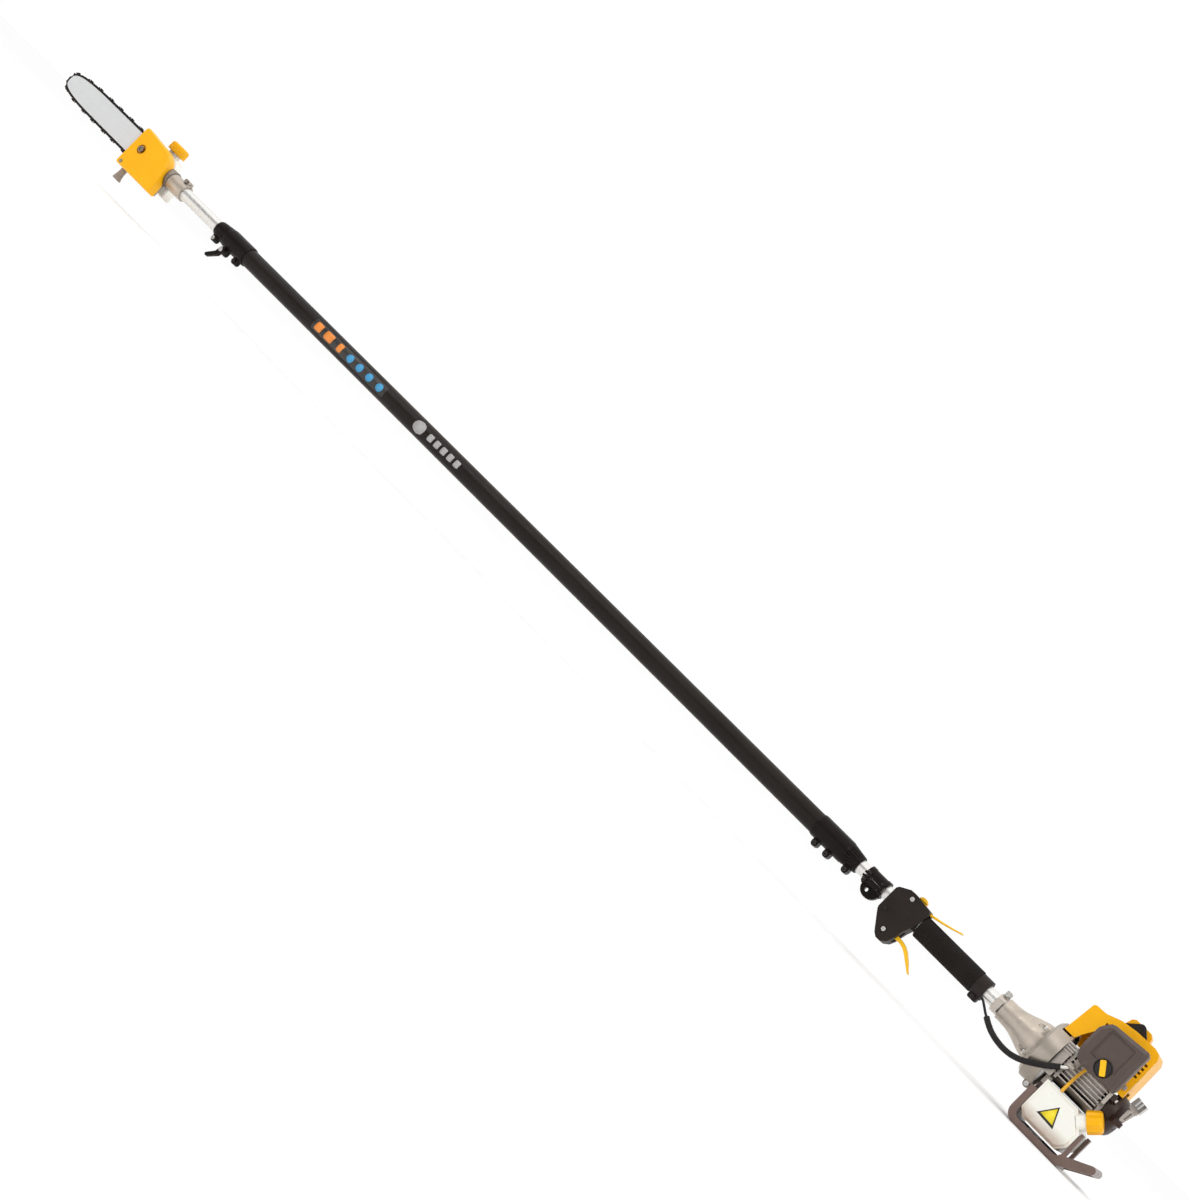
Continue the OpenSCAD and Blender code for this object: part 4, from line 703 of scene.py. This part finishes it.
def wrap_patch(name, outline, mat, x0, mid, lift=0.06):
    """A thin mark wrapped on the main tube.

    The outline is (along, round) in millimetres, x0 its place on the tube and mid its angle about it.
    """
    r_in, r_out = TUBE_R - 0.1 * MM, TUBE_R + lift * MM
    bm = bmesh.new()
    rows = 14
    lo = min(v for _, v in outline)
    hi = max(v for _, v in outline)
    strips = []
    for k in range(rows + 1):
        v = lo + (hi - lo) * k / rows
        v = min(max(v, lo + 1e-4), hi - 1e-4)
        hits = []
        for (ua, va), (ub, vb) in zip(outline, outline[1:] + outline[:1]):
            if (va - v) * (vb - v) <= 0 and va != vb:
                hits.append(ua + (ub - ua) * (v - va) / (vb - va))
        strips.append((v, min(hits), max(hits)))
    pairs = []
    for v, ua, ub in strips:
        a = mid + v * MM / TUBE_R
        row = []
        for u in (ua, ub):
            for r in (r_in, r_out):
                row.append(bm.verts.new(((x0 + u) * MM, r * math.cos(a), AXIS_Z + r * math.sin(a))))
        pairs.append(row)
    for p, q in zip(pairs, pairs[1:]):
        bm.faces.new((p[1], q[1], q[3], p[3]))
        bm.faces.new((p[0], p[2], q[2], q[0]))
        bm.faces.new((p[0], q[0], q[1], p[1]))
        bm.faces.new((p[2], p[3], q[3], q[2]))
    for row in (pairs[0], pairs[-1]):
        bm.faces.new((row[0], row[1], row[3], row[2]))
    piece(name, mesh_from(bm, name), mat, BODY_OF["outer_tube"])


def rounded_box(w, h, r, steps=5):
    """Outline of a rectangle with round corners."""
    pts = []
    for cx, cy, start in (
        (w / 2 - r, h / 2 - r, 0), (-w / 2 + r, h / 2 - r, 90),
        (-w / 2 + r, -h / 2 + r, 180), (w / 2 - r, -h / 2 + r, 270),
    ):
        for k in range(steps + 1):
            a = math.radians(start + 90 * k / steps)
            pts.append((cx + r * math.cos(a), cy + r * math.sin(a)))
    return pts


def tube_marks():
    """Plain coloured marks in place of the printed labels."""
    wrap_patch("mark_strip", rounded_box(238, 25, 3), m_mark_edge, 1960, 0.0, 0.03)
    for i, (x, w) in enumerate(((2061, 20), (2027, 25), (1990, 14))):
        wrap_patch(f"mark_orange_{i}", rounded_box(w, 19, 3), m_orange_mark, x, 0.02)
    for i, x in enumerate((1955, 1924, 1892, 1859)):
        wrap_patch(f"mark_blue_{i}", rounded_box(18, 18, 8.9), m_blue_mark, x, -0.02)
    wrap_patch("mark_disc", rounded_box(31, 28, 13.9), m_grey_mark, 1730, 0.0)
    for i in range(5):
        wrap_patch(f"mark_block_{i}", rounded_box(14, 15, 2.5), m_grey_mark, 1694 - 20.5 * i, 0.0)


def tank_mark():
    """A plain triangle in place of the printed label on the tank."""
    face_y = tank_hi.y / MM
    bm = bmesh.new()

    def place(u, y, v):
        return at(-6 - u, y, -64 + v)

    def tri(k):
        return [(-19 * k, -14 * k), (17 * k, -16 * k), (2 * k, 17 * k)]

    add_prism(bm, tri(1.0), face_y - 0.1, face_y + 0.12, place, 0)
    add_prism(bm, tri(0.74), face_y - 0.05, face_y + 0.2, place, 1)
    piece("tank_mark", mesh_from(bm, "tank_mark"), [m_mark_edge, m_mark_face], BODY_OF["fuel_tank"])


def filter_trim():
    """Raised frame line on the filter cover and the dark ring round the choke knob."""
    lo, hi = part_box("filter_cover")
    y1 = hi.y / MM
    bm = bmesh.new()
    cx, cz = -9.75, 71.5

    def place(u, y, v):
        return at(cx + u, y, cz + v)

    centre = (knob_lo + knob_hi) / 2
    steps = 12
    outer, inner = rounded_box(46, 48, 3, steps), rounded_box(43.6, 45.6, 2.2, steps)
    gap = 17.2
    n = len(outer)
    dense = []
    for k in range(n):
        after = (k + 1) % n
        for t in (j / 24 for j in range(24)):
            dense.append([(p[k][0] + (p[after][0] - p[k][0]) * t, p[k][1] + (p[after][1] - p[k][1]) * t)
                          for p in (outer, inner)])
    keep = [(place(o[0], 0, o[1]) - centre - Vector((0, (place(0, 0, 0) - centre).y, 0))).length > gap * MM
            for o, _ in dense]
    start = next(k for k in range(len(dense)) if keep[k] and not keep[k - 1])
    strip = []
    for k in range(len(dense)):
        if not keep[(start + k) % len(dense)]:
            break
        o, q = dense[(start + k) % len(dense)]
        strip.append([bm.verts.new(place(u, y, v)) for (u, v), y in (
            (o, y1 - 1.3), (o, y1 - 0.15), (q, y1 - 0.15), (q, y1 - 1.3))])
    for a, b in zip(strip, strip[1:]):
        for k in range(4):
            bm.faces.new((a[k], a[(k + 1) % 4], b[(k + 1) % 4], b[k]))
    bm.faces.new(strip[0][::-1])
    bm.faces.new(strip[-1])
    piece("filter_frame", mesh_from(bm, "filter_frame"), m_brown, BODY_OF["filter_cover"])
    bm = bmesh.new()
    sides = 72
    rings = []
    for r, y in ((13.4, y1 - 3.4), (15.4, y1 - 3.4), (15.4, y1 - 0.3), (14.6, y1 + 0.0), (13.9, y1 - 0.5)):
        turns = [2 * math.pi * k / sides for k in range(sides)]
        rings.append([bm.verts.new((centre.x + r * MM * math.cos(a), y * MM, centre.z + r * MM * math.sin(a)))
                      for a in turns])
    for a, b in zip(rings, rings[1:] + rings[:1]):
        for k in range(sides):
            bm.faces.new((a[k], a[(k + 1) % sides], b[(k + 1) % sides], b[k]))
    piece("knob_ring", mesh_from(bm, "knob_ring"), m_black_disc, BODY_OF["filter_cover"])


cable_piece()
hose_piece()
chain_piece()
tube_marks()
tank_mark()
filter_trim()
oil_cap_lo, oil_cap_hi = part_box("oil_cap")
oil_cap_base = Vector(((oil_cap_lo.x + oil_cap_hi.x) / 2, (oil_cap_lo.y + oil_cap_hi.y) / 2, oil_cap_lo.z))
# Both caps fit the same neck. The fuel cap leans with its neck, and its foot is this far up the neck.
NECK_R = 13.4
FUEL_CAP_FOOT = 12.3
cap_piece("oil_cap", oil_cap_base, 0.0, (oil_cap_hi.x - oil_cap_lo.x) / 2 / MM,
          (oil_cap_hi.z - oil_cap_lo.z) / MM, 24, 0.9, NECK_R)
CAP_TILT = math.radians(-45)
fuel_cap_lo, fuel_cap_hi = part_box("fuel_cap")
CAP_Y = (fuel_cap_lo.y + fuel_cap_hi.y) / 2 / MM
fuel_cap_base = at(-42, CAP_Y, -43) + Matrix.Rotation(CAP_TILT, 3, "Y") @ Vector((0, 0, FUEL_CAP_FOOT * MM))
cap_piece("fuel_cap", fuel_cap_base, CAP_TILT, 19.0, 25.5, 10, 1.8, NECK_R)

# ---- Stage, light and camera ----

floor_mesh = bpy.data.meshes.new("floor")
SPAN = 30.0
floor_corners = [(-SPAN, -SPAN, 0), (SPAN, -SPAN, 0), (SPAN, SPAN, 0), (-SPAN, SPAN, 0)]
floor_mesh.from_pydata(floor_corners, [], [(0, 1, 2, 3)])
floor = bpy.data.objects.new("floor", floor_mesh)
bpy.context.scene.collection.objects.link(floor)
floor_net = Net("pale_floor")
floor_patches = floor_net.ramp(floor_net.noise(1.5, 3.0), 0.3, 0.7)
floor_tone = floor_net.mix(floor_patches, (0.93, 0.93, 0.93), (0.95, 0.95, 0.95))
floor_gloss = floor_net.ramp(floor_net.noise(3.0), 0.0, 1.0, 0.9, 0.95)
floor_mesh.materials.append(floor_net.finish(floor_tone, floor_gloss))

world = bpy.data.worlds.new("studio")
bpy.context.scene.world = world
world.use_nodes = True
sky = world.node_tree
sky_strength = sky.nodes["Background"].inputs[1]
sky.nodes["Background"].inputs[0].default_value = (1.0, 1.0, 1.0, 1.0)
BACKDROP, ROOM, OVERHEAD = 1.03, 0.34, 1.22


def sky_range(value, low, high, to_low, to_high):
    """A smooth step in the studio's brightness from one direction to another."""
    m = sky.nodes.new("ShaderNodeMapRange")
    m.interpolation_type = "SMOOTHSTEP"
    for socket, number in zip(("From Min", "From Max", "To Min", "To Max"), (low, high, to_low, to_high)):
        m.inputs[socket].default_value = number
    sky.links.new(value, m.inputs["Value"])
    return m.outputs["Result"]


sky_parts = sky.nodes.new("ShaderNodeSeparateXYZ")
sky.links.new(sky.nodes.new("ShaderNodeTexCoord").outputs["Generated"], sky_parts.inputs[0])
across = sky_range(sky_parts.outputs[1], -0.45, 0.2, BACKDROP, ROOM)
overhead = sky_range(sky_parts.outputs[2], 0.42, 0.70, 0.0, 1.0)
blend = sky.nodes.new("ShaderNodeMix")
sky.links.new(overhead, blend.inputs[0])
sky.links.new(across, blend.inputs[2])
blend.inputs[3].default_value = OVERHEAD
sky.links.new(blend.outputs[0], sky_strength)


def area_light(name, place, aim, power):
    """A round soft light that points at aim, with its power in watts."""
    data = bpy.data.lights.new(name, "AREA")
    data.shape = "DISK"
    data.size = LIGHT_SIZE
    data.energy = power
    obj = bpy.data.objects.new(name, data)
    bpy.context.scene.collection.objects.link(obj)
    obj.location = place
    obj.rotation_euler = (Vector(aim) - Vector(place)).to_track_quat("-Z", "Y").to_euler()


LIGHT_SIZE = 1.2
area_light("key", (-0.6, 2.6, 2.4), (0.6, 0, 0.1), 30.0)
area_light("fill", (3.4, 2.2, 2.6), (2.4, 0, 0.1), 22.0)

FOCAL_PX, FRAME_PX, SENSOR = 2100.0, 1200.0, 36.0
TURN, ROLL, AWAY = math.radians(25.0), math.radians(44.8), 3.861
AIM = Vector((1.205, 0.0, AXIS_Z + 0.009))
look = Vector((math.sin(TURN), -math.cos(TURN), 0.0))
level = Vector((-math.cos(TURN), -math.sin(TURN), 0.0))
high = Vector((0.0, 0.0, 1.0))
right = level * math.cos(ROLL) + high * math.sin(ROLL)
up = -level * math.sin(ROLL) + high * math.cos(ROLL)
camera = bpy.data.objects.new("camera", bpy.data.cameras.new("camera"))
bpy.context.scene.collection.objects.link(camera)
camera.data.sensor_width = SENSOR
camera.data.lens = SENSOR * FOCAL_PX / FRAME_PX
camera.data.clip_start, camera.data.clip_end = 0.05, 100.0
camera.matrix_world = Matrix.Translation(AIM - look * AWAY) @ Matrix((right, up, -look)).transposed().to_4x4()
bpy.context.scene.camera = camera
bpy.context.scene.view_settings.view_transform = "Standard"
